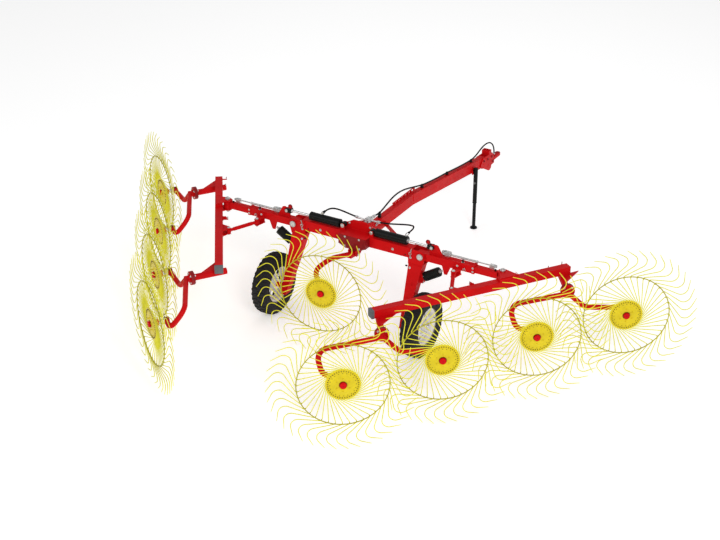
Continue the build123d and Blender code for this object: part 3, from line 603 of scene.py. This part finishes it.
def bead(b, pts, r=0.0035, mi=0):
    """weld along a line: a row of close ripples"""
    pts = [Vector(p) for p in pts]
    out, rr = [], []
    for a, c in zip(pts, pts[1:]):
        n = max(2, int((c - a).length / 0.006))
        for i in range(n):
            out.append(a.lerp(c, i / n))
            rr.append(r * (1.0 if i % 2 else 0.8))
    out.append(pts[-1])
    rr.append(r * 0.8)
    b.tube(out, rr, 6, mi)

def linch(b, p, n, R=0.014, r=0.0022, mi=1):
    """ring on a short pin that stands along n"""
    p, n = Vector(p), Vector(n).normalized()
    b.cyl(p - n * 0.004, p + n * 0.018, 0.006, 14, mi)
    b.torus(axis(p + n * 0.012 - Vector((0, 0, R * 0.8)), n, (0, 0, 1)), R, r, 24, 8, mi)

def stadium(b, c, half, rad, r, mi, long=(0, 1, 0), wide=(1, 0, 0)):
    """closed oblong loop of wire"""
    L, V = Vector(long), Vector(wide)
    pts = []
    for i in range(13):
        a = math.pi * i / 12 - math.pi / 2
        pts.append(c + L * (half + rad * math.cos(a)) + V * (rad * math.sin(a)))
    for i in range(13):
        a = math.pi * i / 12 + math.pi / 2
        pts.append(c + L * (-half + rad * math.cos(a)) + V * (rad * math.sin(a)))
    b.tube(pts, r, 8, mi, closed=True)

def sleeve(b, p, q, r, bore, length, mi):
    """open sleeve from p towards q"""
    at = axis(p, q - p)
    b.lathe([(bore, -0.001), (r, -0.001), (r, length * 0.3), (r * 0.93, length * 0.32), (r * 0.93, length * 0.36), (r, length * 0.38), (r, length * 0.9), (r * 0.9, length), (bore, length)],
            24, at, mi, closed=True)

def gang_trim(s, k):
    b = Build()
    U, N, Z = US(k), NWS(k), Vector((0, 0, 1))
    inb = Vector((sg, -k * cg, 0))          # square to the beam, inboard
    for i in range(2):
        y0 = GP(1.992 * i + 0.541, -0.328, 0.882, k)
        for j in range(4):
            a = math.pi / 4 + j * math.pi / 2
            off = HWS(k) * (0.052 * math.cos(a)) + Z * (0.052 * math.sin(a))
            b.bolt(y0 - N * 0.0400 + off, N, 0.0085, 0.007, 1)
            b.bolt(y0 - N * 0.0780 + off, -N, 0.0085, 0.009, 1)
        b.torus(axis(y0 - N * 0.0795, N), 0.0345, 0.0035, 40, 6, 0)
        b.torus(axis(y0 - N * 0.0385, N), 0.0345, 0.0035, 40, 6, 0)
        # seam between post and beam, gusset seams
        cr = y0 - N * ((-0.328 + 0.654) / math.cos(w - g))
        bead(b, [cr + N * t + HWS(k) * 0.012 + Z * 0.031 for t in (0.045, 0.10)], 0.004)
        bead(b, [cr + N * t - HWS(k) * 0.012 + Z * 0.031 for t in (0.045, 0.10)], 0.004)
    # gang pivot: bolt head and nut with washers, seams of the cheeks
    b.bolt(W(2.095, k * 1.625, 1.046), (0, 0, 1), 0.019, 0.013, 1)
    b.bolt(W(2.095, k * 1.625, 0.908), (0, 0, -1), 0.019, 0.016, 1)
    for a0 in (1.930, 2.140):
        bead(b, [GP(a0, -0.621, 1.0305, k), GP(a0, -0.685, 1.0305, k)], 0.003)
    bead(b, [GP(1.932, -0.6195, 1.021, k), GP(2.138, -0.6195, 1.021, k)], 0.0035)
    for z in (0.9965,):
        for p in (-0.6195, -0.6885):
            bead(b, [GP(1.932, p, z, k), GP(2.138, p, z, k)], 0.003)
    # brace pin at the beam: head and nut; welded web
    pb = W(1.642, k * 1.300, 0.969)
    domed(b, pb, (0, 0, 1), 0.017, 0.008, 1)
    b.cyl(pb - Z * 0.0125, pb + Z * 0.001, 0.012, 18, 1)
    b.bolt(pb - Z * 0.068, (0, 0, -1), 0.014, 0.012, 1)
    bead(b, [GP(1.404, -0.6965, 0.902, k), GP(1.404, -0.6965, 0.968, k)], 0.003)
    bead(b, [GP(1.566, -0.6965, 0.902, k), GP(1.566, -0.6965, 0.968, k)], 0.003)
    # small lugs and hooks on the beam's inboard face
    for a, z, l in ((1.670, 0.972, 0.060), (2.540, 0.960, 0.042), (2.700, 0.968, 0.050)):
        c = GP(a, -0.694, z, k)
        b.cyl(c - inb * 0.002, c + inb * l, 0.0065, 14, 0)
        b.cyl(c + inb * (l - 0.006), c + inb * (l - 0.006) + Z * 0.030, 0.0055, 14, 1)
        b.torus(axis(c + inb * 0.001, inb), 0.0078, 0.0018, 16, 6, 0)
    # lug plate over the first of them
    c = GP(1.670, -0.694, 0.985, k)
    b.plate([c + U * u + Z * z for u, z in ((-0.022, -0.018), (0.022, -0.018), (0.022, 0.012), (0.012, 0.022), (-0.012, 0.022), (-0.022, 0.012))], inb, 0.008, 0)
    b.plate([c - U * 0.004 + inb * u + Z * z for u, z in ((0.006, -0.018), (0.044, -0.018), (0.046, 0.010), (0.034, 0.022), (0.006, 0.022))], U, 0.008, 0)
    # end plate of the beam
    e0 = GP(2.726, -0.654, 0.955, k)
    for dy, dz in ((-0.027, -0.027), (0.027, -0.027), (-0.027, 0.027), (0.027, 0.027)):
        b.bolt(e0 + inb * dy + Z * dz, U, 0.007, 0.006, 1)
    b.make("gang_trim_" + s, TRIM, "gang_" + s, "zinc")
    # ribs of the plastic cap
    c = Build()
    r0 = GP(0.565, -0.654, 0.955, k)
    at = axis(r0, -U)
    c.box(at @ Matrix.Translation((0, 0, 0.0010)), 0.066, 0.066, 0.004, 0, 0.001)
    for d in (-0.022, 0.0, 0.022):
        c.box(at @ Matrix.Translation((d, 0, 0.0030)), 0.005, 0.060, 0.005, 0, 0.001)
    for d in (0.006, 0.014, 0.022):
        for p, n, sx in ((-0.654 - 0.042, inb, 0), (-0.654 + 0.042, -inb, 0)):
            c.box(axis(GP(0.565 + d, p, 0.955, k), n, U), 0.003, 0.076, 0.0024, 0, 0.0006)
        c.box(axis(GP(0.565 + d, -0.654, 0.997, k), Z, U), 0.003, 0.076, 0.0024, 0, 0.0006)
    c.make("cap_ribs_" + s, [GREY], "gang_" + s, "cap_plastic")

def chassis_trim(s, k):
    b = Build()
    back, fore, Z = Vector((-1, 0, 0)), Vector((1, 0, 0)), Vector((0, 0, 1))
    # hinge pin ends
    domed(b, W(2.0152, k * 0.750, 0.986), back, 0.0295, 0.015, 2)
    b.torus(axis(W(2.0160, k * 0.750, 0.986), fore), 0.0315, 0.0022, 36, 6, 2)
    b.bolt(W(2.167, k * 0.750, 0.986), fore, 0.023, 0.016, 1)
    for x, n in ((2.0330, back), (2.1570, fore)):
        b.torus(axis(W(x, k * 0.750, 0.986) + n * 0.002, n), 0.040, 0.0035, 40, 6, 0)
        b.lathe([(0.032, 0), (0.0415, 0), (0.0415, 0.0035), (0.032, 0.0035)], 36, axis(W(x, k * 0.750, 0.986), n), 0, closed=True)
    # spring pin on its chain at the plate's inner corner
    linch(b, W(2.033, k * 0.640, 1.010), back, 0.015, 0.0024)
    for i in range(9):
        t = i / 8
        c = W(2.0275, k * (0.652 - 0.010 * t), 1.050 - 0.034 * t)
        b.torus(axis(c, (1, 0, 0) if i % 2 else (0, 1, 0.2), (0, 0, 1)), 0.0050, 0.0013, 12, 6, 1)
    for i in range(7):
        t = i / 6
        c = W(2.0270 - 0.004 * t, k * (0.636 + 0.006 * math.sin(3 * t)), 0.986 - 0.030 * t)
        b.torus(axis(c, (1, 0, 0) if i % 2 else (0, 1, 0.2), (0, 0, 1)), 0.0050, 0.0013, 12, 6, 1)
    b.bolt(W(2.033, k * 0.640, 0.950), back, 0.0085, 0.007, 1)
    # bolts of the crossbeam and of the leg
    b.bolt(W(2.045, k * 0.427, 0.985), back, 0.0100, 0.008, 1)
    b.bolt(W(2.145, k * 0.427, 0.985), fore, 0.0100, 0.008, 1)
    b.lathe([(0, 0), (0.0075, 0), (0.0075, 0.0012), (0, 0.0012)], 20, axis(W(2.0452, k * 0.574, 0.962), back), 3)
    ln = Vector((-0.889, 0, 0.458))
    for y, z, mi in ((0.640, 0.841, 1), (0.705, 0.700, 0), (0.705, 0.560, 0)):
        b.bolt(W(1.740 + (z - 0.300) * 0.5155, k * y, z), ln, 0.0085, 0.007, mi)
    b.cyl(W(2.020, k * 0.612, 0.856), W(2.020, k * 0.592, 0.856), 0.0085, 16, 3)
    # seams of leg, plates and axle
    for x in (2.0320, 2.1580):
        bead(b, [W(x, k * 0.6125, 0.884), W(x, k * 0.772, 0.884)], 0.0035)
    bead(b, [W(2.0440, k * 0.6105, 0.940), W(2.0440, k * 0.6105, 1.028)], 0.0035)
    bead(b, [W(2.0440, k * 0.6105, 0.940), W(2.0440, k * 0.6105, 0.888)], 0.0030)
    b.torus(axis(W(1.836, k * 0.7545, 0.336), (0, k, 0)), 0.0435, 0.0035, 44, 6, 0)
    b.lathe([(0.0275, 0), (0.040, 0), (0.041, 0.002), (0.041, 0.006), (0.0275, 0.006)], 40, axis(W(1.836, k * 0.7755, 0.336), (0, k, 0)), 1, closed=True)
    # base pin of the cylinder, saddle bolts
    domed(b, W(2.0530, k * 0.169, 1.096), back, 0.0155, 0.006, 1)
    b.lathe([(0.0142, 0), (0.021, 0), (0.021, 0.0025), (0.0142, 0.0025)], 28, axis(W(2.0570, k * 0.169, 1.096), back), 1, closed=True)
    b.bolt(W(2.1335, k * 0.169, 1.096), fore, 0.014, 0.010, 1)
    b.bolt(W(2.123, k * 0.122, 1.112), back, 0.0095, 0.007, 1)
    b.bolt(W(2.133, k * 0.122, 1.112), fore, 0.0095, 0.007, 1)
    b.bolt(W(1.962, k * 0.082, 1.034), back, 0.0080, 0.006, 1)
    b.bolt(W(1.962, k * 0.085, 0.930), back, 0.0085, 0.007, 1)
    bead(b, [W(2.122, k * 0.008, 1.0535), W(2.122, k * 0.206, 1.0535)], 0.003)
    bead(b, [W(1.9635, k * 0.004, 1.0525), W(1.9635, k * 0.158, 1.0525)], 0.0028)
    # buffer: ribs, end plate and nut
    b0 = W(2.065, k * 0.770, 0.744)
    bd = Vector((0, k * 183, 115)).normalized()
    for t in (0.052, 0.076, 0.100, 0.124, 0.148, 0.172, 0.194):
        b.torus(axis(b0 + bd * t, bd), 0.0485, 0.0024, 44, 6, 3)
    b.lathe([(0.0125, 0), (0.030, 0), (0.031, 0.001), (0.031, 0.004), (0.0125, 0.004)], 36, axis(b0 + bd * 0.212, bd), 3, closed=True)
    b.lathe([(0.0125, 0), (0.020, 0), (0.020, 0.011), (0.018, 0.012), (0.0125, 0.012)], 6, axis(b0 + bd * 0.216, bd), 1, closed=True)
    for dz in (0.012, 0.078):
        for dx in (-0.026, 0.026):
            b.bolt(W(2.055 + dx, k * 0.794, 0.700 + dz), (0, k, 0), 0.0075, 0.006, 1)
    b.make("chassis_trim_" + s, TRIM, "chassis", "zinc")

def boom_trim(s, k):
    b = Build()
    back, Z = Vector((-1, 0, 0)), Vector((0, 0, 1))
    for dx in (-0.0075, 0.0075):
        bead(b, [W(2.095 + dx, k * 0.826, 1.0215), W(2.095 + dx, k * 0.968, 1.0215)], 0.0032)
    b.lathe([(0.0125, 0.006), (0.022, 0.006), (0.022, 0.0085), (0.0125, 0.0085)], 28, axis(W(2.095, k * 0.855, 1.096), back), 0, closed=True)
    b.lathe([(0.0125, 0.006), (0.022, 0.006), (0.022, 0.0085), (0.0125, 0.0085)], 28, axis(W(2.095, k * 0.855, 1.096), -back), 0, closed=True)
    # under-lug seam
    for dx in (-0.0305, -0.0175):
        bead(b, [W(2.095 + dx, k * 0.977, 0.9395), W(2.095 + dx, k * 1.073, 0.9395)], 0.0028)
    # wire loops over the adjusting screw's anchor
    for dz in (0.000, 0.0125, 0.025):
        stadium(b, W(2.123, k * 1.000, 1.042 + dz), 0.028, 0.0205, 0.0048, 1)
    b.cyl(W(2.123, k * 0.975, 1.036), W(2.123, k * 0.975, 1.080), 0.0075, 16, 1)
    b.lathe([(0.0080, 0), (0.0150, 0), (0.0150, 0.012), (0.0140, 0.013), (0.0080, 0.013)], 6, axis(W(2.123, k * 1.330, 1.046), (0, k, 0)), 1, closed=True)
    b.lathe([(0.0112, 0), (0.0145, 0), (0.0145, 0.010), (0.0112, 0.010)], 24, axis(W(2.123, k * 1.040, 1.046), (0, k, 0)), 1, closed=True)
    # locking pin on top, with its ring
    b.cyl(W(2.082, k * 1.200, 1.019), W(2.082, k * 1.200, 1.052), 0.0085, 18, 3)
    b.lathe([(0.0085, 0), (0.016, 0), (0.016, 0.004), (0.0085, 0.004)], 24, axis(W(2.082, k * 1.200, 1.020), Z), 1, closed=True)
    b.torus(axis(W(2.082, k * 1.200, 1.058), (1, 0, 0.2)), 0.0125, 0.0020, 22, 6, 1)
    # brace bracket: pin head, web bolts, spring ring, seams
    domed(b, W(1.957, k * 1.160, 0.975), Z, 0.0165, 0.009, 2)
    b.lathe([(0.0122, 0), (0.018, 0), (0.018, 0.0025), (0.0122, 0.0025)], 28, axis(W(1.957, k * 1.160, 0.9695), Z), 1, closed=True)
    b.bolt(W(1.957, k * 1.160, 0.895), (0, 0, -1), 0.0125, 0.010, 1)
    b.bolt(W(2.043, k * 1.158, 0.988), back, 0.0085, 0.007, 2)
    linch(b, W(2.055, k * 1.232, 0.975), back, 0.0140, 0.0023)
    for y in (1.1235, 1.1965):
        bead(b, [W(2.0545, k * y, 0.942), W(2.0545, k * y, 1.008)], 0.0030)
    bead(b, [W(2.0545, k * 1.115, 1.0115), W(2.0545, k * 1.205, 1.0115)], 0.0030)
    # open end of the outer tube: band with clamp bolts
    for dx, n in ((-0.0415, back), (0.0415, -back)):
        b.box(axis(W(2.095 + dx, k * 1.322, 0.980), n), 0.030, 0.084, 0.0035, 0, 0.001)
        for dz in (-0.020, 0.020):
            b.bolt(W(2.095 + dx, k * 1.322, 0.980 + dz) + n * 0.0015, n, 0.0075, 0.006, 1)
    for dz, n in ((0.0415, Z), (-0.0415, -Z)):
        b.box(axis(W(2.095, k * 1.322, 0.980 + dz), n, (1, 0, 0)), 0.086, 0.030, 0.0035, 0, 0.001)
    b.make("boom_trim_" + s, TRIM, "boom_" + s, "zinc")
    c = Build()
    for dz in (0.000, 0.011):
        stadium(c, W(2.123, k * 1.512, 1.040 + dz), 0.020, 0.0165, 0.0042, 1)
    c.cyl(W(2.095, k * 1.548, 1.011), W(2.095, k * 1.548, 1.032), 0.0085, 16, 3)
    bead(c, [W(2.063, k * 1.5795, 1.0125), W(2.127, k * 1.5795, 1.0125)], 0.0032)
    for dx in (-0.0325, 0.0325):
        bead(c, [W(2.095 + dx, k * 1.5795, 0.950), W(2.095 + dx, k * 1.5795, 1.010)], 0.0032)
    c.make("boom_end_trim_" + s, TRIM, "boom_ext_" + s, "zinc")

def cylinder_trim(s, k):
    b = Build()
    out = Vector((0, k, 0))
    b.lathe([(0.0126, 0), (0.0430, 0), (0.0442, 0.002), (0.0442, 0.017), (0.0405, 0.020), (0.0126, 0.020)], 40, axis(W(2.095, k * 0.553, 1.096), out), 3, closed=True)
    b.lathe([(0.0126, 0.020), (0.0190, 0.020), (0.0180, 0.023), (0.0126, 0.023)], 28, axis(W(2.095, k * 0.553, 1.096), out), 1, closed=True)
    b.torus(axis(W(2.095, k * 0.2150, 1.096), out), 0.0422, 0.0030, 40, 6, 3)
    b.torus(axis(W(2.095, k * 0.2330, 1.096), out), 0.0426, 0.0018, 40, 6, 3)
    b.torus(axis(W(2.095, k * 0.5380, 1.096), out), 0.0426, 0.0018, 40, 6, 3)
    # ports: union nuts at the barrel
    port, end = ((2103, 466, 1112), (2112, 430, 1158)) if k == 1 else ((2094, 538, 1112), (2118, 556, 1155))
    p, q = WM(port[0], k * port[1], port[2]), WM(end[0], k * end[1], end[2])
    d = (q - p).normalized()
    b.lathe([(0.0092, 0), (0.0150, 0), (0.0150, 0.010), (0.0138, 0.011), (0.0092, 0.011)], 6, axis(p + d * 0.029, d), 1, closed=True)
    b.make("cylinder_trim_" + s, TRIM, "cylinder_barrel_" + s, "zinc")
    c = Build()
    c.lathe([(0.0122, 0), (0.0195, 0), (0.0210, 0.001), (0.0210, 0.011), (0.0195, 0.012), (0.0122, 0.012)], 6, axis(W(2.095, k * 0.7920, 1.096), out), 1, closed=True)
    for sx in (-1, 1):
        domed(c, W(2.095 + sx * 0.0330, k * 0.855, 1.096), (sx, 0, 0), 0.0175, 0.007, 1)
    # knob behind the lug's plane, so that it passes the lug as the boom folds
    knob = W(2.077, k * 0.812, 1.1490)
    # the knob's round rim gets the shaded red: painted shade
    c.torus(axis(knob, (1, 0, 0)), 0.0180, 0.0080, 36, 10, 4)
    c.cyl(knob - Vector((0.0045, 0, 0)), knob + Vector((0.0045, 0, 0)), 0.0125, 24, 0)
    c.cyl(knob - Vector((0, 0, 0.037)), knob - Vector((0, 0, 0.019)), 0.0065, 16, 3)
    c.make("rod_trim_" + s, TRIM, "cylinder_rod_" + s, "zinc")

for s, k in SIDES:
    gang_trim(s, k)
    chassis_trim(s, k)
    boom_trim(s, k)
    cylinder_trim(s, k)

def middle_trim():
    b = Build()
    Z = Vector((0, 0, 1))
    # drawbar: plate bolts, knee seam, comb seam
    for k in (1, -1):
        for x in (2.190, 2.290, 2.385):
            for z in (0.935, 1.020):
                b.bolt(W(x, k * 0.046, z), (0, k, 0), 0.0105, 0.008, 1)
        bead(b, [W(3.220, k * 0.0355, 0.908), W(3.220, k * 0.0355, 1.028)], 0.003)
        bead(b, [W(2.585, k * 0.037, 0.928), W(2.585, k * 0.037, 0.974)], 0.003)
    bead(b, [W(3.220, -0.034, 1.0312), W(3.220, 0.034, 1.0312)], 0.003)
    # clamps of the long hose: half band over it and two screws
    for x, z, m in ((2.534, 1.085, 0.0), (3.477, 1.031, -0.2), (4.082, 0.945, -0.13), (4.699, 0.867, -0.05)):
        d = Vector((1, 0, m)).normalized()
        n = Vector((-m, 0, 1)).normalized()
        for dx in (-0.007, 0.0, 0.007):
            b.tube([W(x, 0, z) + d * dx + Vector((0, 0.0107 * math.cos(t), 0)) + n * (0.0107 * math.sin(t)) for t in [math.pi * (i - 2) / 12 for i in range(17)]], 0.0022, 6, 3)
        for sy in (-1, 1):
            c = W(x, sy * 0.0130, z) - n * 0.0105
            b.box(axis(c, n, d), 0.018, 0.010, 0.0030, 3, 0.0006)
    # sleeves on the hose ends, those at the barrels clear of the moving sockets
    for pts in (HOSE_LEFT, HOSE_RIGHT, HOSE_DRAWBAR):
        sleeve(b, WM(*pts[0]), WM(*pts[1]), 0.0125, 0.0087, 0.016, 1)
    for pts, off in ((HOSE_LEFT, 0.014), (HOSE_RIGHT, 0.014), (HOSE_DRAWBAR, 0.0)):
        p, q = WM(*pts[-1]), WM(*pts[-2])
        sleeve(b, p + (q - p).normalized() * off, q, 0.0125, 0.0087, 0.014, 1 if off == 0 else 3)
    # distributor: plugs, nuts and a bleed fitting
    for x, y in ((2.268, -0.012), (2.268, 0.014), (2.332, -0.014)):
        b.lathe([(0, 0), (0.0100, 0), (0.0100, 0.008), (0.0060, 0.009), (0.0060, 0.016), (0.0045, 0.018), (0, 0.018)], 6, axis(W(x, y, 1.1160), Z), 1)
    b.lathe([(0, 0), (0.0130, 0), (0.0130, 0.012), (0.0090, 0.014), (0, 0.014)], 6, axis(W(2.310, 0.0300, 1.096), (0, 1, 0)), 1)
    b.lathe([(0, 0), (0.0130, 0), (0.0130, 0.012), (0.0090, 0.014), (0, 0.014)], 6, axis(W(2.262, -0.0300, 1.096), (0, -1, 0)), 1)
    b.lathe([(0, 0), (0.0130, 0), (0.0130, 0.014), (0.0090, 0.016), (0, 0.016)], 6, axis(W(2.2500, 0.004, 1.094), (-1, 0, 0)), 1)
    for x, y in ((2.286, 0.018), (2.314, -0.018)):
        b.bolt(W(x, y, 1.1160), Z, 0.0055, 0.006, 1)
    # hitch: bolts through the side plates, seams of tongue and box
    # the hitch bolts and the ring at the front of the hitch get the shaded red: painted shade
    for k in (1, -1):
        for x, z in ((4.955, 0.765), (5.060, 0.752), (5.170, 0.745), (5.205, 0.675)):
            b.bolt(W(x, k * 0.048, z), (0, k, 0), 0.0120, 0.009, 4)
        bead(b, [W(5.2415, k * 0.0325, 0.658), W(5.2415, k * 0.0325, 0.688)], 0.003)
    bead(b, [W(5.2415, -0.031, 0.6915), W(5.2415, 0.031, 0.6915)], 0.003)
    b.lathe([(0.0162, 0), (0.0290, 0), (0.0280, 0.0022), (0.0172, 0.0022)], 40, axis(W(5.440, 0, 0.6900), Z), 4, closed=True)
    # jack: cap, cross pin with its ring
    b.lathe([(0, 0.010), (0.018, 0.009), (0.0255, 0.004), (0.0262, -0.010), (0.0251, -0.010), (0, 0.004)], 32, axis(W(4.700, -0.068, 0.770), Z), 3)
    for x0, x1 in ((4.664, 4.6785), (4.7215, 4.736)):
        b.cyl(W(x0, -0.068, 0.610), W(x1, -0.068, 0.610), 0.0060, 14, 3)
    b.torus(axis(W(4.667, -0.068, 0.598), (1, 0, 0)), 0.0120, 0.0020, 22, 6, 1)
    b.torus(axis(W(4.700, -0.068, 0.334), Z), 0.0252, 0.0022, 36, 6, 3)
    # kicker bracket: pin ends and bolts
    for k in (1, -1):
        domed(b, W(2.000, k * 0.058, 0.850), (0, k, 0), 0.0150, 0.006, 1)
        b.torus(axis(W(2.000, k * 0.0530, 0.850), (0, 1, 0)), 0.0170, 0.0022, 28, 6, 1)
        b.bolt(W(2.085, k * 0.048, 0.905), (0, k, 0), 0.0085, 0.007, 1)
        b.bolt(W(2.120, k * 0.048, 0.915), (0, k, 0), 0.0085, 0.007, 1)
    b.make("middle_trim", TRIM, "chassis", "zinc")
    c = Build()
    c.torus(axis(W(4.700, -0.068, 0.0135), Z), 0.0225, 0.0028, 32, 6, 3)
    c.make("jack_trim", TRIM, "jack_leg", "black_paint")
    d = Build()
    for x in (1.906, 1.994):
        d.bolt(W(x - 0.010, 0.010, 0.8875 - (x - 1.906) * 0.12), Z, 0.0075, 0.006, 1)
    bead(d, [W(1.902, -0.026, 0.8875), W(1.902, 0.026, 0.8875)], 0.003)
    d.make("kicker_trim", TRIM, "kicker_arm", "frame_red")

middle_trim()

# ------------------------------------------------------------------ finishes of the carried-over pieces
slots = {sp["node"]: sp["material_slot"] for sp in frame["record"]["subparts"]}
for name, ob in frame["nodes"].items():
    ob.data.materials.clear()
    ob.data.materials.append(SLOTS[slots[name]])
    if ob.hide_render:
        continue
    wl = ob.modifiers.new("weld", "WELD")
    wl.merge_threshold = 0.00005
    bv = ob.modifiers.new("edge", "BEVEL")
    bv.width = 0.0022
    bv.segments = 2
    bv.limit_method = "ANGLE"
    bv.angle_limit = math.radians(40)
    bv.use_clamp_overlap = True
    bv.harden_normals = False
    wn = ob.modifiers.new("normals", "WEIGHTED_NORMAL")
    wn.keep_sharp = False

def paint(node, mats, pick):
    """other finishes on parts of a node: pick(centre) gives the index in mats, counted from 1, or 0"""
    ob = frame["nodes"][node]
    for mt in mats:
        ob.data.materials.append(mt)
    for p in ob.data.polygons:
        i = pick(p.center)
        if i:
            p.material_index = i

# rear box of the centre lies in shade and gets the shaded red as painted shade; the cylinder base pins are bright
paint("centre_plates", [RED_PAINTED_SHADE, ZINC], lambda c: 2 if math.hypot(abs(c.y) - 0.169, c.z - 1.096) < 0.0145 else (1 if c.x + XM < 2.0445 and c.z < 1.0455 else 0))

# clips of the long hose are black, the block that holds the jack is red
paint("hose_clips", [BLACK], lambda c: 1)
paint("jack_sleeve", [RED], lambda c: 1 if abs(c.x + XM - 4.700) > 0.0255 or c.y > -0.0465 else 0)

for s, k in SIDES:
    # rod end is black with bright pin heads, its rod chrome
    paint("cylinder_rod_" + s, [BLACK, ZINC], lambda c: 2 if abs(c.x + XM - 2.095) > 0.0262 else (1 if abs(c.y) > 0.8045 else 0))
    # buffer: zinc end rod, red bracket
    b0, bd = W(2.065, k * 0.770, 0.744), Vector((0, k * 183, 115)).normalized()
    paint("buffer_" + s, [ZINC, RED], lambda c, b0=b0, bd=bd: 1 if (c - b0).dot(bd) > 0.2125 else (2 if (c - b0).dot(bd) < 0.0335 else 0))
    # port elbow and union of the barrel are bright
    paint("cylinder_barrel_" + s, [ZINC], lambda c: 1 if math.hypot(c.x + XM - 2.095, c.z - 1.096) > 0.0445 else 0)
    # brace pin and gang pivot are bright at their ends; the flange rims lie in shade and get the shaded red as painted
    # shade
    paint("boom_outer_" + s, [ZINC], lambda c, k=k: 1 if math.hypot(c.x + XM - 1.957, c.y - k * 1.160) < 0.0123 else 0)
    nodes2 = [GP(1.992 * i + 0.541, -0.328, 0.882, k) for i in range(2)]
    def flange(c, k=k, nodes2=nodes2):
        for h in nodes2:
            t = (c - h).dot(NWS(k))
            if -0.080 < t < -0.038 and 0.0665 < (c - h - NWS(k) * t).length < 0.0705:
                return True
        return False
    paint("gang_beam_" + s, [ZINC, RED_PAINTED_SHADE], lambda c, k=k: 1 if math.hypot(c.x + XM - 2.095, c.y - k * 1.625) < 0.0223 else (2 if flange(c) else 0))
    # hub axles: bright shaft between the collars; painted shade in the shaded red on the gap at the arm's end and on
    # the flange rims
    for nm, i0 in (("tandem_rear_", 0), ("tandem_front_", 2)):
        hubs = [GP(0.996 * i, 0, 0.706, k) for i in (i0, i0 + 1)]
        def pick(c, hubs=hubs, k=k):
            for h in hubs:
                d = c - h
                t = d.dot(NWS(k))
                r = (d - NWS(k) * t).length
                if -0.17 < t < 0.03 and r < 0.0215:
                    return 1
                if -0.137 > t > -0.177 and 0.030 < r < 0.037:
                    return 2
            return 2 if flange(c) else 0
        paint(nm + s, [ZINC, RED_PAINTED_SHADE], pick)

# ------------------------------------------------------------------ floor and light
fl = Build()
fl.add([(-60, -60, 0), (60, -60, 0), (60, 60, 0), (-60, 60, 0)], [[0, 1, 2, 3]])
floor_mat = material("floor_pale", (0.93, 0.93, 0.93), rough=0.9, var=0.004, scale=0.2, bump=0.0, spec=0.1)
floor_sh = [n for n in floor_mat.node_tree.nodes if n.type == "BSDF_PRINCIPLED"][0]
floor_sh.inputs["Emission Color"].default_value = (1, 1, 1, 1)
floor_sh.inputs["Emission Strength"].default_value = 0.40
me = fl.mesh("floor", [floor_mat])
floor = bpy.data.objects.new("floor", me)
scene.collection.objects.link(floor)

world = bpy.data.worlds.new("studio")
scene.world = world
world.use_nodes = True
bg = world.node_tree.nodes["Background"]
bg.inputs["Color"].default_value = (1, 1, 1, 1)
bg.inputs["Strength"].default_value = 0.46

def area(name, loc, target, size, power):
    ld = bpy.data.lights.new(name, "AREA")
    ld.shape = "DISK"
    ld.size = size
    ld.energy = power
    ob = bpy.data.objects.new(name, ld)
    scene.collection.objects.link(ob)
    ob.matrix_world = axis(Vector(loc), Vector(loc) - Vector(target))
    return ob

area("key", (-9, -9, 9), (0, 0, 0.8), 5.0, 800)
area("fill", (-10, 6, 7), (0, 0, 0.8), 6.0, 200)
area("back", (8, 3, 10), (0, 0, 0.8), 6.0, 150)

scene.view_settings.view_transform = "Standard"
scene.view_settings.look = "None"
